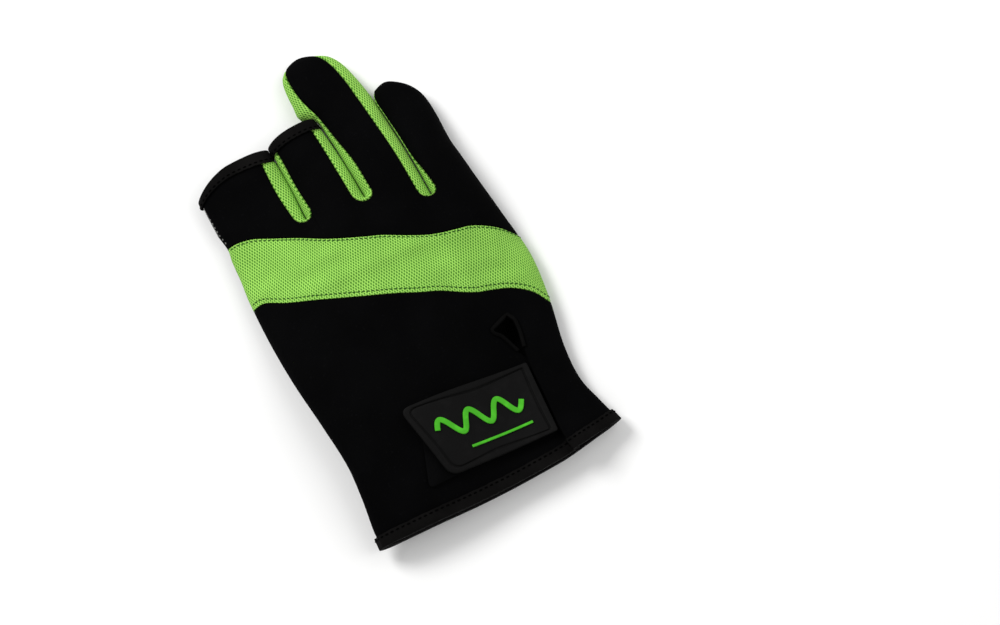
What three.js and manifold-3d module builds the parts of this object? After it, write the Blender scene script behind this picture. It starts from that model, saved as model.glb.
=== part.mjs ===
// A right-hand fishing glove that lies with its back up and its thumb folded under the palm.
// Millimetres. X runs from the index side to the pinky side, Y from the cuff to the fingertips, Z up.
// The thumb, index and middle fingers are open at the end, the ring and pinky fingers are closed.
import * as THREE from 'three';
import Module from 'manifold-3d';

const wasm = await Module();
wasm.setup();

const { lerp, clamp, smoothstep, degToRad } = THREE.MathUtils;

// Driving sizes of the glove
const handLength = 136;      // cuff hem to the crotch between the middle and ring fingers
const handWidth = 112;       // across the knuckles, lying flat
const handDepth = 12.5;      // height of the lying hand part, walls included
const indexLength = 29.4;    // each finger from its root line to its end
const middleLength = 35.7;
const ringLength = 70.3;
const pinkyLength = 49.2;
const fingerDepth = 12.5;    // height of a lying finger
const neoprene = 2.2;        // wall of the back
const palmCloth = 1.6;       // wall of the palm
const mesh = 1.2;            // wall of the knuckle band and the gussets
const seam = 0.3;            // gap kept between neighbouring pieces
const edgeRoll = 11;         // how far in from an edge the cloth has turned over
const tipRoll = 9;           // the same at a closed fingertip
const pinkyWrap = 6;         // how far the back turns under the pinky edge
const wrapSeam = 0.8;        // gap at that edge, where the cloth lies slantwise
const palmCrotchDrop = 6;    // how much deeper the slots are cut in the palm than in the back

// Driving sizes of the bindings
const tapeWidth = 5;
const tape = 0.6;
const tapeGap = 0.5;         // between a tape's legs and the wall that it is folded over

// Driving sizes of the thumb
const thumbWidth = 35;
const thumbDepth = 9.4;
const thumbReach = 65;       // from the bend at its root to its mouth
const thumbAngle = 33;       // degrees from the hand's own direction
const thumbRootLength = 24;  // of the hole in the palm, along the thumb
const thumbBend = 1.0;       // inner radius of the bend at the root
const thumbDrape = 40;       // how far from the thumb the glove comes down to the surface
const thumbPlace = { x: -0.222, y: 0.478 };   // middle of its bend, x of handWidth, y of handLength
const thumbRootShare = 0.86; // width at its root, as a share of its width

// Driving sizes of the closure
const tabThickness = 2.2;
const tabRim = 3.2;          // from the tab's edge to the middle of its groove
const tabGroove = 0.8;       // depth of the groove
const tabGrooveHalf = 0.5;   // half its width
const tabField = 0.3;        // how much lower the field inside the groove lies
const tabBevel = 0.7;        // of the tab's upper edge
const tabCorner = 4.5;
const patchThickness = 1.0;
const patchCorner = 3;
const waveHeight = 8;
const waveStroke = 2.4;
const waveRelief = 0.7;
const waveTurns = 3;

// Shape constants
const rollPower = 2.3;       // roundness of every rolled edge
const midShare = 0.45;       // height of the side seam, as a share of the depth
const flatShare = 1.08;      // how soon the underside is flat
const crownFall = 0.14;      // how much the back falls from its middle to its edges
const clearOfPalm = 1.5;     // between the folded thumb and the palm above it
const narrowRoll = 0.8;      // share of a narrow section's half width that its edge may roll over
const tipCurve = 2.2;        // power of the curve across the end of a finger
const hemFade = [1.6, 5];    // tape widths from the cuff between which the hem's lift dies away
const flapHemFade = [1.4, 3];    // the same for the flap's second hem
const flapStand = [2, 17];   // millimetres from the flap's edge between which it comes back to the section
const flapRun = 0.1;         // share of handLength below the slit's upper end over which the flap lifts
const mouthFade = [0.3, 0.75];   // share of an open finger over which its mouth lifts
const thumbMouthFade = [0.5, 0.75];

// The outline of the hand: along as shares of handLength, left and right of handWidth, depth of handDepth
const handOutline = [
  { along: 0.0, left: -0.532, right: 0.468, depth: 0.88 },
  { along: 0.1, left: -0.52, right: 0.44, depth: 0.88 },
  { along: 0.19, left: -0.501, right: 0.419, depth: 0.9 },
  { along: 0.3, left: -0.486, right: 0.431, depth: 0.92 },
  { along: 0.45, left: -0.493, right: 0.475, depth: 0.97 },
  { along: 0.6, left: -0.5036, right: 0.501, depth: 1.0 },
  { along: 0.75, left: -0.5036, right: 0.4875, depth: 1.0 },
  { along: 0.9, left: -0.492, right: 0.472, depth: 1.0 },
  { along: 0.975, left: -0.479, right: 0.468, depth: 1.0 },
  { along: 1.04, left: -0.471, right: 0.465, depth: 1.0 },
  { along: 1.08, left: -0.462, right: 0.463, depth: 1.0 },
  { along: 1.14, left: -0.469, right: 0.463, depth: 1.0 },
];

// The hem at the cuff and the two edges of the knuckle band, as shares of handLength
const crossLines = [
  { across: -1.0, hem: 0.04, bandLow: 0.86, bandHigh: 1.063 },
  { across: -0.9, hem: 0.035, bandLow: 0.862, bandHigh: 1.067 },
  { across: -0.75, hem: 0.029, bandLow: 0.83, bandHigh: 1.056 },
  { across: -0.5, hem: 0.0206, bandLow: 0.776, bandHigh: 1.0 },
  { across: -0.25, hem: 0.012, bandLow: 0.73, bandHigh: 0.938 },
  { across: 0.0, hem: 0.0066, bandLow: 0.682, bandHigh: 0.891 },
  { across: 0.25, hem: 0.003, bandLow: 0.63, bandHigh: 0.834 },
  { across: 0.5, hem: 0.0018, bandLow: 0.568, bandHigh: 0.784 },
  { across: 0.75, hem: 0.01, bandLow: 0.526, bandHigh: 0.748 },
  { across: 0.9, hem: 0.016, bandLow: 0.482, bandHigh: 0.707 },
  { across: 1.0, hem: 0.02, bandLow: 0.435, bandHigh: 0.665 },
  { across: 1.2, hem: 0.02, bandLow: 0.405, bandHigh: 0.63 },
];

// Where the fingers part: root of each line between fingers, as shares of handLength
const roots = [1.13, 1.06, 1.029, 0.937, 0.937];

// The fingers: along as shares of the finger's length, all x values of handWidth.
// backLeft and backRight are the edges of the black strip that the back and the palm have on the finger.
const fingers = [
  {
    name: 'index', length: indexLength, open: true, dropLeft: 0.28, dropRight: 0.15,
    rows: [
      { along: 0.0, left: -0.469, backLeft: -0.469, backRight: -0.198, right: -0.1625 },
      { along: 0.35, left: -0.4675, backLeft: -0.4675, backRight: -0.2035, right: -0.1536 },
      { along: 0.7, left: -0.465, backLeft: -0.465, backRight: -0.198, right: -0.1555 },
      { along: 1.0, left: -0.461, backLeft: -0.461, backRight: -0.19, right: -0.159 },
    ],
  },
  {
    name: 'middle', length: middleLength, open: true, dropLeft: 0.12, dropRight: 0.09,
    rows: [
      { along: 0.0, left: -0.1554, backLeft: -0.1286, backRight: 0.0268, right: 0.0625 },
      { along: 0.35, left: -0.1464, backLeft: -0.1304, backRight: 0.0286, right: 0.0634 },
      { along: 0.7, left: -0.135, backLeft: -0.125, backRight: 0.0304, right: 0.0595 },
      { along: 1.0, left: -0.132, backLeft: -0.122, backRight: 0.03, right: 0.053 },
    ],
  },
  {
    name: 'ring', length: ringLength, open: false, dropLeft: 0.028, dropRight: 0.036,
    rows: [
      { along: 0.0, left: 0.0695, backLeft: 0.1018, backRight: 0.2446, right: 0.2804 },
      { along: 0.2, left: 0.0705, backLeft: 0.099, backRight: 0.248, right: 0.284 },
      { along: 0.4, left: 0.0715, backLeft: 0.089, backRight: 0.2464, right: 0.2857 },
      { along: 0.6, left: 0.067, backLeft: 0.078, backRight: 0.242, right: 0.2866 },
      { along: 0.75, left: 0.022, backLeft: 0.0563, backRight: 0.2357, right: 0.268 },
      { along: 0.88, left: 0.0268, backLeft: 0.049, backRight: 0.2205, right: 0.2375 },
      { along: 0.96, left: 0.0375, backLeft: 0.0536, backRight: 0.196, right: 0.21 },
      { along: 1.0, left: 0.06, backLeft: 0.071, backRight: 0.165, right: 0.175 },
    ],
  },
  {
    name: 'pinky', length: pinkyLength, open: false, dropLeft: 0.03, dropRight: 0.08,
    rows: [
      { along: 0.0, left: 0.2884, backLeft: 0.3125, backRight: 0.468, right: 0.468 },
      { along: 0.3, left: 0.293, backLeft: 0.303, backRight: 0.461, right: 0.461 },
      { along: 0.6, left: 0.2955, backLeft: 0.302, backRight: 0.4696, right: 0.4696 },
      { along: 0.8, left: 0.2965, backLeft: 0.302, backRight: 0.466, right: 0.466 },
      { along: 0.93, left: 0.3, backLeft: 0.307, backRight: 0.443, right: 0.443 },
      { along: 1.0, left: 0.317, backLeft: 0.324, backRight: 0.411, right: 0.411 },
    ],
  },
];

// The wrist slit: along as shares of handLength, the edges of the flap and of the main part of handWidth
const slit = [
  { along: 0.01, flap: 0.25, main: 0.279 },
  { along: 0.07, flap: 0.25, main: 0.284 },
  { along: 0.19, flap: 0.266, main: 0.316 },
  { along: 0.28, flap: 0.275, main: 0.325 },
  { along: 0.325, flap: 0.284, main: 0.278 },
  { along: 0.36, flap: 0.2955, main: 0.254 },
  { along: 0.41, flap: 0.3107, main: 0.237 },
  { along: 0.442, flap: 0.313, main: 0.226 },
  { along: 0.462, flap: 0.3, main: 0.3 },
];
const slitApex = 0.462;      // share of handLength
const slitCorner = 0.442;    // the main part's corner beside the slit's upper end
const slitRows = [0, 0.1, 0.2, 0.31, 0.42, 0.53, 0.63, 0.7, 0.78, 0.87, 0.915, 0.956, 1];
const rowsAboveSlit = [0.22, 0.44, 0.66, 0.84, 1];

// Corners of the closure tab and of the patch under it: x of handWidth, y of handLength, anticlockwise
const tabCorners = [
  { x: -0.183, y: 0.112 },
  { x: 0.2395, y: 0.077 },
  { x: 0.255, y: 0.303 },
  { x: -0.2275, y: 0.363 },
];
const patchCorners = [
  { x: -0.286, y: 0.114 },
  { x: 0.06, y: 0.102 },
  { x: 0.07, y: 0.27 },
  { x: -0.222, y: 0.3 },
];

// Colours and finishes
const materials = {
  neoprene: new THREE.MeshStandardMaterial({ color: 0x111113, roughness: 0.85, metalness: 0 }),
  mesh: new THREE.MeshStandardMaterial({ color: 0x7be03c, roughness: 0.8, metalness: 0 }),
  palm: new THREE.MeshStandardMaterial({ color: 0x141414, roughness: 0.75, metalness: 0 }),
  tape: new THREE.MeshStandardMaterial({ color: 0x191919, roughness: 0.7, metalness: 0 }),
  rubber: new THREE.MeshStandardMaterial({ color: 0x2b2a2b, roughness: 0.6, metalness: 0 }),
  relief: new THREE.MeshStandardMaterial({ color: 0x4fe01e, roughness: 0.5, metalness: 0 }),
  loop: new THREE.MeshStandardMaterial({ color: 0x0e0e0e, roughness: 0.95, metalness: 0 }),
};

// A smooth curve through one column of a table. Each slope is the mean of its two neighbours'.
function column(rows, key, value) {
  const at = rows.map((row) => row[key]);
  const level = rows.map((row) => row[value]);
  const slope = at.map((_, i) => {
    const low = Math.max(0, i - 1);
    const high = Math.min(at.length - 1, i + 1);
    return (level[high] - level[low]) / (at[high] - at[low]);
  });
  return (where) => {
    const x = clamp(where, at[0], at[at.length - 1]);
    let i = 0;
    while (i < at.length - 2 && x > at[i + 1]) i += 1;
    const span = at[i + 1] - at[i];
    const t = (x - at[i]) / span;
    const bend = level[i] * (1 + 2 * t) * (1 - t) ** 2 + level[i + 1] * t * t * (3 - 2 * t);
    return bend + span * (slope[i] * t * (1 - t) ** 2 - slope[i + 1] * t * t * (1 - t));
  };
}

const outline = {
  left: column(handOutline, 'along', 'left'),
  right: column(handOutline, 'along', 'right'),
  depth: column(handOutline, 'along', 'depth'),
};
const crossLine = {
  hem: column(crossLines, 'across', 'hem'),
  bandLow: column(crossLines, 'across', 'bandLow'),
  bandHigh: column(crossLines, 'across', 'bandHigh'),
};
const slitEdge = {
  flap: column(slit, 'along', 'flap'),
  main: column(slit, 'along', 'main'),
};
fingers.forEach((finger, i) => {
  for (const key of ['left', 'backLeft', 'backRight', 'right']) {
    finger[key] = column(finger.rows, 'along', key);
  }
  finger.rootLeft = roots[i] * handLength;
  finger.rootRight = roots[i + 1] * handLength;
  finger.tip = (finger.rootLeft + finger.rootRight) / 2 + finger.length;
});

// Share of the full height that a rolled edge has reached at a distance from the edge
function roll(distance, reach) {
  const left = 1 - clamp(distance / reach, 0, 1);
  return (1 - left ** rollPower) ** (1 / rollPower);
}

// The folded thumb: its direction, the middle of its bend, and the middle of its mouth
const thumbDirection = new THREE.Vector2(Math.sin(degToRad(thumbAngle)), Math.cos(degToRad(thumbAngle)));
const thumbSide = new THREE.Vector2(thumbDirection.y, -thumbDirection.x);
const thumbPivot = new THREE.Vector2(thumbPlace.x * handWidth, thumbPlace.y * handLength);
const thumbHeel = thumbPivot.clone().addScaledVector(thumbDirection, -thumbBend - thumbRootLength);
const thumbMouth = thumbPivot.clone().addScaledVector(thumbDirection, thumbReach);
const tapeRoom = tapeGap + tape;                // what a binding adds outside a wall
const thumbRise = thumbDepth + clearOfPalm;   // height of the palm above the surface, over the thumb

// Height by which the folded thumb lifts the glove at a place
function thumbLift(x, y) {
  const along = clamp((x - thumbHeel.x) * thumbDirection.x + (y - thumbHeel.y) * thumbDirection.y,
    0, thumbHeel.distanceTo(thumbMouth) + tapeRoom + clearOfPalm);
  const near = thumbHeel.clone().addScaledVector(thumbDirection, along);
  const distance = Math.hypot(x - near.x, y - near.y) - thumbWidth / 2 - tapeRoom;
  return thumbRise * (1 - smoothstep(distance, 0, thumbDrape));
}

// How far a place on a section is in from its edge, and how much of a wall's depth moves it sideways there
function edgePlace(u, half) {
  const across = u > 1 ? 2 - u : u;
  const distance = half * (1 - Math.abs(across));
  const reach = Math.min(edgeRoll, half * narrowRoll);
  return { across, distance, reach, lean: 1 - clamp(distance / reach, 0, 1) };
}

// Sideways place of a point on a section, from its centre line
function skinSideways(u, half, inset) {
  const { across, lean } = edgePlace(u, half);
  return half * across - Math.sign(across) * inset * lean;
}

// Height of the shell's skin above its base. u is -1 at the left edge and 1 at the right edge, and past 1
// the back turns under. inset is the depth below the outer skin, close is 0 at a closed fingertip.
function skinHeight(side, u, half, depth, inset, gap, close) {
  const { distance, reach, lean } = edgePlace(u, half);
  const tall = depth - 2 * inset;
  const under = side === 'palm' || u > 1;
  const full = roll(distance - inset * (1 - lean), reach) * close;
  const middle = inset + midShare * tall;
  const split = (side === 'palm' ? -gap / 2 : gap / 2) * (1 - full);
  if (under) return middle + split - midShare * tall * Math.min(1, flatShare * full);
  return middle + split + (1 - midShare) * tall * full * (1 - crownFall * u * u);
}

// Centre line and half width of the hand at a height along it
function handSpan(y) {
  const left = outline.left(y / handLength) * handWidth;
  const right = outline.right(y / handLength) * handWidth;
  return { centre: (left + right) / 2, half: (right - left) / 2 };
}

// A point of the hand part of the shell
function handPoint(side, u, y, inset, gap = seam) {
  const { centre, half } = handSpan(y);
  const x = centre + skinSideways(u, half, inset);
  const depth = handDepth * outline.depth(y / handLength);
  const hemLift = tapeRoom * (1 - smoothstep(y / tapeWidth, ...hemFade));
  return new THREE.Vector3(x, y, thumbLift(x, y) + hemLift + skinHeight(side, u, half, depth, inset, gap, 1));
}

// A point of a finger part of the shell. v is 0 at the root line and 1 at the end.
function fingerPoint(finger, side, u, v, inset, gap = seam) {
  const { centre, half } = fingerSpan(finger, v);
  const across = u > 1 ? 2 - u : u;
  const x = centre + skinSideways(u, half, inset);
  const root = lerp(finger.rootLeft, finger.rootRight, (across + 1) / 2);
  const drop = (across < 0 ? finger.dropLeft : finger.dropRight) * finger.length;
  const end = finger.tip - drop * Math.abs(across) ** tipCurve - (finger.open ? 0 : inset);
  const y = lerp(root, end, v);
  const close = finger.open ? 1 : roll((1 - v) * (finger.length - inset), tipRoll);
  const mouthLift = finger.open ? tapeRoom * smoothstep(v, ...mouthFade) : 0;
  return new THREE.Vector3(x, y, thumbLift(x, y) + mouthLift
    + skinHeight(side, u, half, fingerDepth, inset, gap, close));
}

// Centre line and half width of a finger
function fingerSpan(finger, v) {
  const left = finger.left(v) * handWidth;
  const right = finger.right(v) * handWidth;
  return { centre: (left + right) / 2, half: (right - left) / 2 };
}

// A sheet of cloth: nodes on its outer and inner skin and cells between them. Its rim is added where a
// cell's side has no neighbour.
class Sheet {
  constructor() {
    this.outer = [];
    this.inner = [];
    this.faces = [];
  }

  node(outer, inner) {
    this.outer.push(outer);
    this.inner.push(inner);
    return this.outer.length - 1;
  }

  cell(a, b, c, d) {
    this.faces.push([a, b, c], [a, c, d]);
  }

  geometry() {
    const shift = this.outer.length;
    const sides = new Set(this.faces.flatMap(([a, b, c]) => [`${a} ${b}`, `${b} ${c}`, `${c} ${a}`]));
    const triangles = [...this.faces, ...this.faces.map(([a, b, c]) => [a + shift, c + shift, b + shift])];
    for (const side of sides) {
      const [a, b] = side.split(' ').map(Number);
      if (!sides.has(`${b} ${a}`)) triangles.push([b, a, a + shift], [b, a + shift, b + shift]);
    }
    return closedGeometry([...this.outer, ...this.inner], triangles);
  }
}

// A closed geometry whose faces point outwards
function closedGeometry(points, triangles) {
  let volume = 0;
  for (const [a, b, c] of triangles) {
    volume += points[a].dot(new THREE.Vector3().crossVectors(points[b], points[c]));
  }
  const turned = volume < 0 ? triangles.map(([a, b, c]) => [a, c, b]) : triangles;
  const geometry = new THREE.BufferGeometry();
  geometry.setAttribute('position', new THREE.Float32BufferAttribute(points.flatMap((p) => p.toArray()), 3));
  geometry.setIndex(turned.flat());
  return geometry;
}

// A sheet over a full grid of rows and columns. at(row, column, inset) gives the points.
function gridSheet(rows, columns, wall, at) {
  const sheet = new Sheet();
  const rowNodes = (r) => range(columns + 1).map((c) => sheet.node(at(r, c, 0), at(r, c, wall)));
  const ids = range(rows + 1).map(rowNodes);
  for (const r of range(rows)) {
    for (const c of range(columns)) sheet.cell(ids[r][c], ids[r][c + 1], ids[r + 1][c + 1], ids[r + 1][c]);
  }
  return sheet.geometry();
}

function range(count) {
  return [...Array(count).keys()];
}

// A solid swept through sections of eight points, the outline of a tape folded over an edge
function foldedTape(sections, closed) {
  const size = sections[0].length;
  const triangles = [];
  const steps = closed ? sections.length : sections.length - 1;
  for (const i of range(steps)) {
    const next = (i + 1) % sections.length;
    for (const k of range(size)) {
      const a = i * size + k;
      const b = i * size + ((k + 1) % size);
      const c = next * size + ((k + 1) % size);
      const d = next * size + k;
      triangles.push([a, b, c], [a, c, d]);
    }
  }
  if (!closed) {
    const last = (sections.length - 1) * size;
    for (const [a, b, c, d] of [[0, 1, 6, 7], [1, 2, 5, 6], [2, 3, 4, 5]]) {
      triangles.push([a, c, b], [a, d, c]);
      triangles.push([last + a, last + b, last + c], [last + a, last + c, last + d]);
    }
  }
  return closedGeometry(sections.flat(), triangles);
}

// The tape's section as pairs of inset and distance from its fold. The wall lies between its two legs, or
// inside its one leg.
function tapeSection(wall, legs = 2) {
  const outside = -tapeRoom;
  if (legs === 1) {
    return [
      [outside, tapeWidth], [outside, 0], [wall, 0],
      [wall, tape], [outside + tape, tape], [outside + tape, tapeWidth],
    ];
  }
  const inside = wall + tapeRoom;
  return [
    [outside, tapeWidth], [outside, 0], [inside, 0], [inside, tapeWidth],
    [inside - tape, tapeWidth], [inside - tape, tape], [outside + tape, tape], [outside + tape, tapeWidth],
  ];
}

// Columns of a panel's strip on each finger, as shares from its left to its right edge. Past 1 they are
// shares of the stretch that turns under the pinky edge.
const openEdge = [0, 0.01, 0.035, 0.085, 0.17, 0.32, 0.52, 0.74, 0.9, 1];
const innerStrip = [0, 0.13, 0.36, 0.64, 0.87, 1];
const backColumns = [openEdge, innerStrip, innerStrip, [0, 0.15, 0.4, 0.68, 0.88, 0.97, 1, 1.35, 2]];
const palmColumns = [openEdge, innerStrip, innerStrip, [0, 0.15, 0.4, 0.7, 1]];
const slotSteps = 5;
const fingerStep = 12;       // between the rows of a closed finger
const limbStep = 8;          // between the rows of a gusset's limb on it
const gussetEnd = 0.22;      // share of tipRoll by which such a limb ends short of the fingertip

// Position across a finger of one of its strip's columns
function stripAcross(finger, side, share, v) {
  const { centre, half } = fingerSpan(finger, v);
  const from = (finger.backLeft(v) * handWidth - centre) / half;
  const wrap = finger.name === 'pinky' ? pinkyWrap / half : 0;
  if (share > 1) return 1 + (share - 1) * wrap;
  const trim = side === 'palm' && wrap > 0 ? wrap + wrapSeam / half : 0;
  return lerp(from, (finger.backRight(v) * handWidth - centre) / half - trim, share);
}

// The nodes of a panel where the fingers part: on each finger's root line and round each slot's end
function rootNodes(side, inset) {
  const nodes = [];
  const drop = side === 'palm' ? palmCrotchDrop : 0;
  const shares = side === 'palm' ? palmColumns : backColumns;
  fingers.forEach((finger, i) => {
    const strip = shares[i].map((share) => {
      const u = stripAcross(finger, side, share, 0);
      return { point: fingerPoint(finger, side, u, 0, inset), under: u > 1 };
    });
    if (i > 0) {
      const from = nodes[nodes.length - 1].point;
      const to = strip[0].point;
      for (const k of range(slotSteps - 1)) {
        nodes.push({ point: roundSlot(from, to, (k + 1) / slotSteps, drop), under: false });
      }
    }
    nodes.push(...strip);
  });
  return nodes;
}

// A point of the round end of a slot between two points on its sides
function roundSlot(from, to, share, drop) {
  const radius = (to.x - from.x) / 2;
  const angle = Math.PI * share;
  return new THREE.Vector3(
    (from.x + to.x) / 2 - radius * Math.cos(angle),
    lerp(from.y, to.y, share) - (radius + drop) * Math.sin(angle),
    lerp(from.z, to.z, share),
  );
}

// A panel that covers all four fingers: hand rows from a low line to the root nodes, then finger rows
function fingeredPanel(side, wall, handRows, fingerRows, lowLine, blendFrom) {
  const sheet = new Sheet();
  const outerRoots = rootNodes(side, 0);
  const innerRoots = rootNodes(side, wall);
  const handNode = (node, row, inset) => {
    const { centre, half } = handSpan(node.point.y);
    const share = acrossOf(node.point.x - centre, half, inset);
    const rise = node.point.z - thumbLift(node.point.x, node.point.y);
    const u = node.under ? 2 - share : share;
    const y = lerp(lowLine(u), node.point.y, handRows[row]);
    const point = handPoint(side, u, y, inset);
    const blend = smoothstep(handRows[row], blendFrom, 1);
    const plain = point.z - thumbLift(point.x, y);
    point.z = thumbLift(point.x, y) + lerp(plain, rise, blend);
    return point;
  };
  const last = handRows.length - 1;
  const grid = handRows.map((_, r) => outerRoots.map((_root, c) => (r < last
    ? sheet.node(handNode(outerRoots[c], r, 0), handNode(innerRoots[c], r, wall))
    : sheet.node(outerRoots[c].point, innerRoots[c].point))));
  for (const r of range(last)) {
    for (const c of range(outerRoots.length - 1)) {
      sheet.cell(grid[r][c], grid[r][c + 1], grid[r + 1][c + 1], grid[r + 1][c]);
    }
  }
  const shares = side === 'palm' ? palmColumns : backColumns;
  let first = 0;
  fingers.forEach((finger, i) => {
    const end = finger.open ? 1 - tapeRoom / finger.length : 1;
    const stations = fingerRows(finger);
    let below = grid[last].slice(first, first + shares[i].length);
    for (const station of stations) {
      const v = station * end;
      const row = shares[i].map((share) => {
        const u = stripAcross(finger, side, share, v);
        return sheet.node(fingerPoint(finger, side, u, v, 0), fingerPoint(finger, side, u, v, wall));
      });
      for (const c of range(row.length - 1)) sheet.cell(below[c], below[c + 1], row[c + 1], row[c]);
      below = row;
    }
    first += shares[i].length + slotSteps - 1;
  });
  return sheet.geometry();
}

// Share across a section of a point at a sideways place, the inverse of skinSideways
function acrossOf(sideways, half, inset) {
  let u = clamp(sideways / half, -1, 1);
  for (const _ of range(8)) u = clamp(u + (sideways - skinSideways(u, half, inset)) / half, -1, 1);
  return u;
}

// Stations along a finger, closer together at a closed tip
function fingerStations(finger) {
  if (finger.open) return [0.25, 0.5, 0.75, 1];
  const count = Math.round(finger.length / fingerStep);
  const body = range(count).map((i) => (i + 1) / count * (1 - tipRoll / finger.length));
  const tip = [0.45, 0.75, 0.93, 1].map((t) => 1 - (1 - t) * tipRoll / finger.length);
  return [...body, ...tip];
}

function backUpper() {
  const low = (u) => crossLine.bandHigh(u) * handLength + seam / 2;
  return fingeredPanel('back', neoprene, [0, 0.2, 0.4, 0.6, 0.8, 1], fingerStations, low, 0.1);
}

function knuckleBand() {
  const across = [-1, -0.985, -0.94, -0.86, -0.74, -0.58, -0.42, -0.26, -0.1, 0.06, 0.22, 0.38, 0.54,
    0.68, 0.8, 0.89, 0.95, 0.985, 1, 1.35, 2];
  const rows = 5;
  return gridSheet(rows, across.length - 1, mesh, (r, c, inset) => {
    const edge = Math.min(across[c], 1) + Math.max(0, across[c] - 1) * pinkyWrap / (handWidth / 2);
    const low = crossLine.bandLow(edge) * handLength + seam / 2;
    const high = crossLine.bandHigh(edge) * handLength - seam / 2;
    const y = lerp(low, high, r / rows);
    const u = across[c] > 1 ? 1 + (across[c] - 1) * pinkyWrap / handSpan(y).half : across[c];
    return handPoint('back', u, y, inset);
  });
}

// How far the flap stands off the main part of the back below it
function flapRise(x, y) {
  const edge = slitEdge.flap(y / handLength) * handWidth;
  const hem = 2 * tapeRoom * (1 - smoothstep(y / tapeWidth, ...flapHemFade));
  const fade = 1 - smoothstep(x - edge, ...flapStand);
  return (neoprene + seam + hem) * fade * smoothstep(slitApex - y / handLength, 0, flapRun);
}

function flapPoint(u, y, inset, gap = seam) {
  const point = handPoint('back', u, y, inset, gap);
  if (u <= 1) point.z += flapRise(point.x, y);
  return point;
}

const lowerHem = (u) => crossLine.hem(u) * handLength + tapeRoom + seam;
const lowerTop = (u) => crossLine.bandLow(u) * handLength - seam / 2;

// Heights along the hand of the rows of the lower back: up to the slit's upper end, then up to the band
function lowerRows(u) {
  const hem = lowerHem(u);
  const top = lowerTop(u);
  const apex = Math.min(slitApex * handLength, lerp(hem, top, 0.88));
  const below = slitRows.map((share) => lerp(hem, apex, share));
  return [...below, ...rowsAboveSlit.map((share) => lerp(apex, top, share))];
}

// Position across the hand of a place on the slit, on one of the rows
function slitPlace(row, edge) {
  let u = 0.55;
  for (const _ of range(6)) {
    const y = lowerRows(u)[row];
    const { centre, half } = handSpan(y);
    u = (slitEdge[edge](y / handLength) * handWidth - centre) / half;
  }
  return u;
}

// The back below the knuckle band. The main part and the flap share their edge above the slit.
function backLower() {
  const mainShares = [0, 0.01, 0.04, 0.095, 0.18, 0.32, 0.48, 0.64, 0.79, 0.9, 1];
  const flapShares = [0, 0.12, 0.3, 0.52, 0.74, 0.9, 0.97, 1, 1.4, 2];
  const sheet = new Sheet();
  const main = [];
  const flap = [];
  const apexRow = slitRows.length - 1;
  const rows = slitRows.length + rowsAboveSlit.length;
  range(rows).forEach((r) => {
    const mainEdge = slitPlace(r, 'main');
    const flapEdge = slitPlace(r, 'flap');
    const mainNode = (t) => {
      const u = lerp(-1, mainEdge, t);
      const y = lowerRows(u)[r];
      return sheet.node(handPoint('back', u, y, 0), handPoint('back', u, y, neoprene));
    };
    const flapNode = (t) => {
      const edge = t > 1 ? 1 + (t - 1) * pinkyWrap / (handWidth / 2) : lerp(flapEdge, 1, t);
      const y = lowerRows(edge)[r];
      const u = t > 1 ? 1 + (t - 1) * pinkyWrap / handSpan(y).half : edge;
      return sheet.node(flapPoint(u, y, 0), flapPoint(u, y, neoprene));
    };
    main.push(mainShares.map(mainNode));
    const joined = () => [main[r].at(-1), ...flapShares.slice(1).map(flapNode)];
    flap.push(r < apexRow ? flapShares.map(flapNode) : joined());
  });
  for (const r of range(rows - 1)) {
    for (const part of [main, flap]) {
      for (const c of range(part[r].length - 1)) {
        sheet.cell(part[r][c], part[r][c + 1], part[r + 1][c + 1], part[r + 1][c]);
      }
    }
  }
  return sheet.geometry();
}

// A gusset between two fingers: down the side of one, round the crotch and up the side of the next
function gusset(leftFinger, rightFinger) {
  const profile = [0, 0.25, 0.5, 0.75, 1];
  const reach = (finger) => 1 - (finger.open ? tapeRoom : gussetEnd * tipRoll) / finger.length;
  const limbRows = (finger) => (finger.open ? 4 : Math.round(finger.length / limbStep));
  const crotchSteps = 6;
  const sidePoint = (finger, toRight, v, k, inset) => {
    const { centre, half } = fingerSpan(finger, v);
    const edge = ((toRight ? finger.backRight(v) : finger.backLeft(v)) * handWidth - centre) / half;
    const start = Math.abs(edge) + 1.7 * seam / half;
    const turn = 1 - Math.abs(2 * profile[k] - 1);
    const out = lerp(start, 1, Math.sin(turn * Math.PI / 2));
    return fingerPoint(finger, profile[k] <= 0.5 ? 'back' : 'palm', toRight ? out : -out, v, inset, 0);
  };
  const stations = [];
  const leftRows = limbRows(leftFinger);
  for (const i of range(leftRows)) stations.push({ limb: 'left', v: reach(leftFinger) * (1 - i / leftRows) });
  for (const i of range(crotchSteps + 1)) stations.push({ limb: 'crotch', turn: i / crotchSteps });
  const rightRows = limbRows(rightFinger);
  const rightReach = reach(rightFinger);
  for (const i of range(rightRows)) stations.push({ limb: 'right', v: rightReach * (i + 1) / rightRows });
  return gridSheet(stations.length - 1, profile.length - 1, mesh, (r, k, inset) => {
    const station = stations[r];
    if (station.limb === 'left') return sidePoint(leftFinger, true, station.v, k, inset);
    if (station.limb === 'right') return sidePoint(rightFinger, false, station.v, k, inset);
    const from = sidePoint(leftFinger, true, 0, k, inset);
    const to = sidePoint(rightFinger, false, 0, k, inset);
    return roundSlot(from, to, station.turn, palmCrotchDrop * profile[k]);
  });
}

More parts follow.
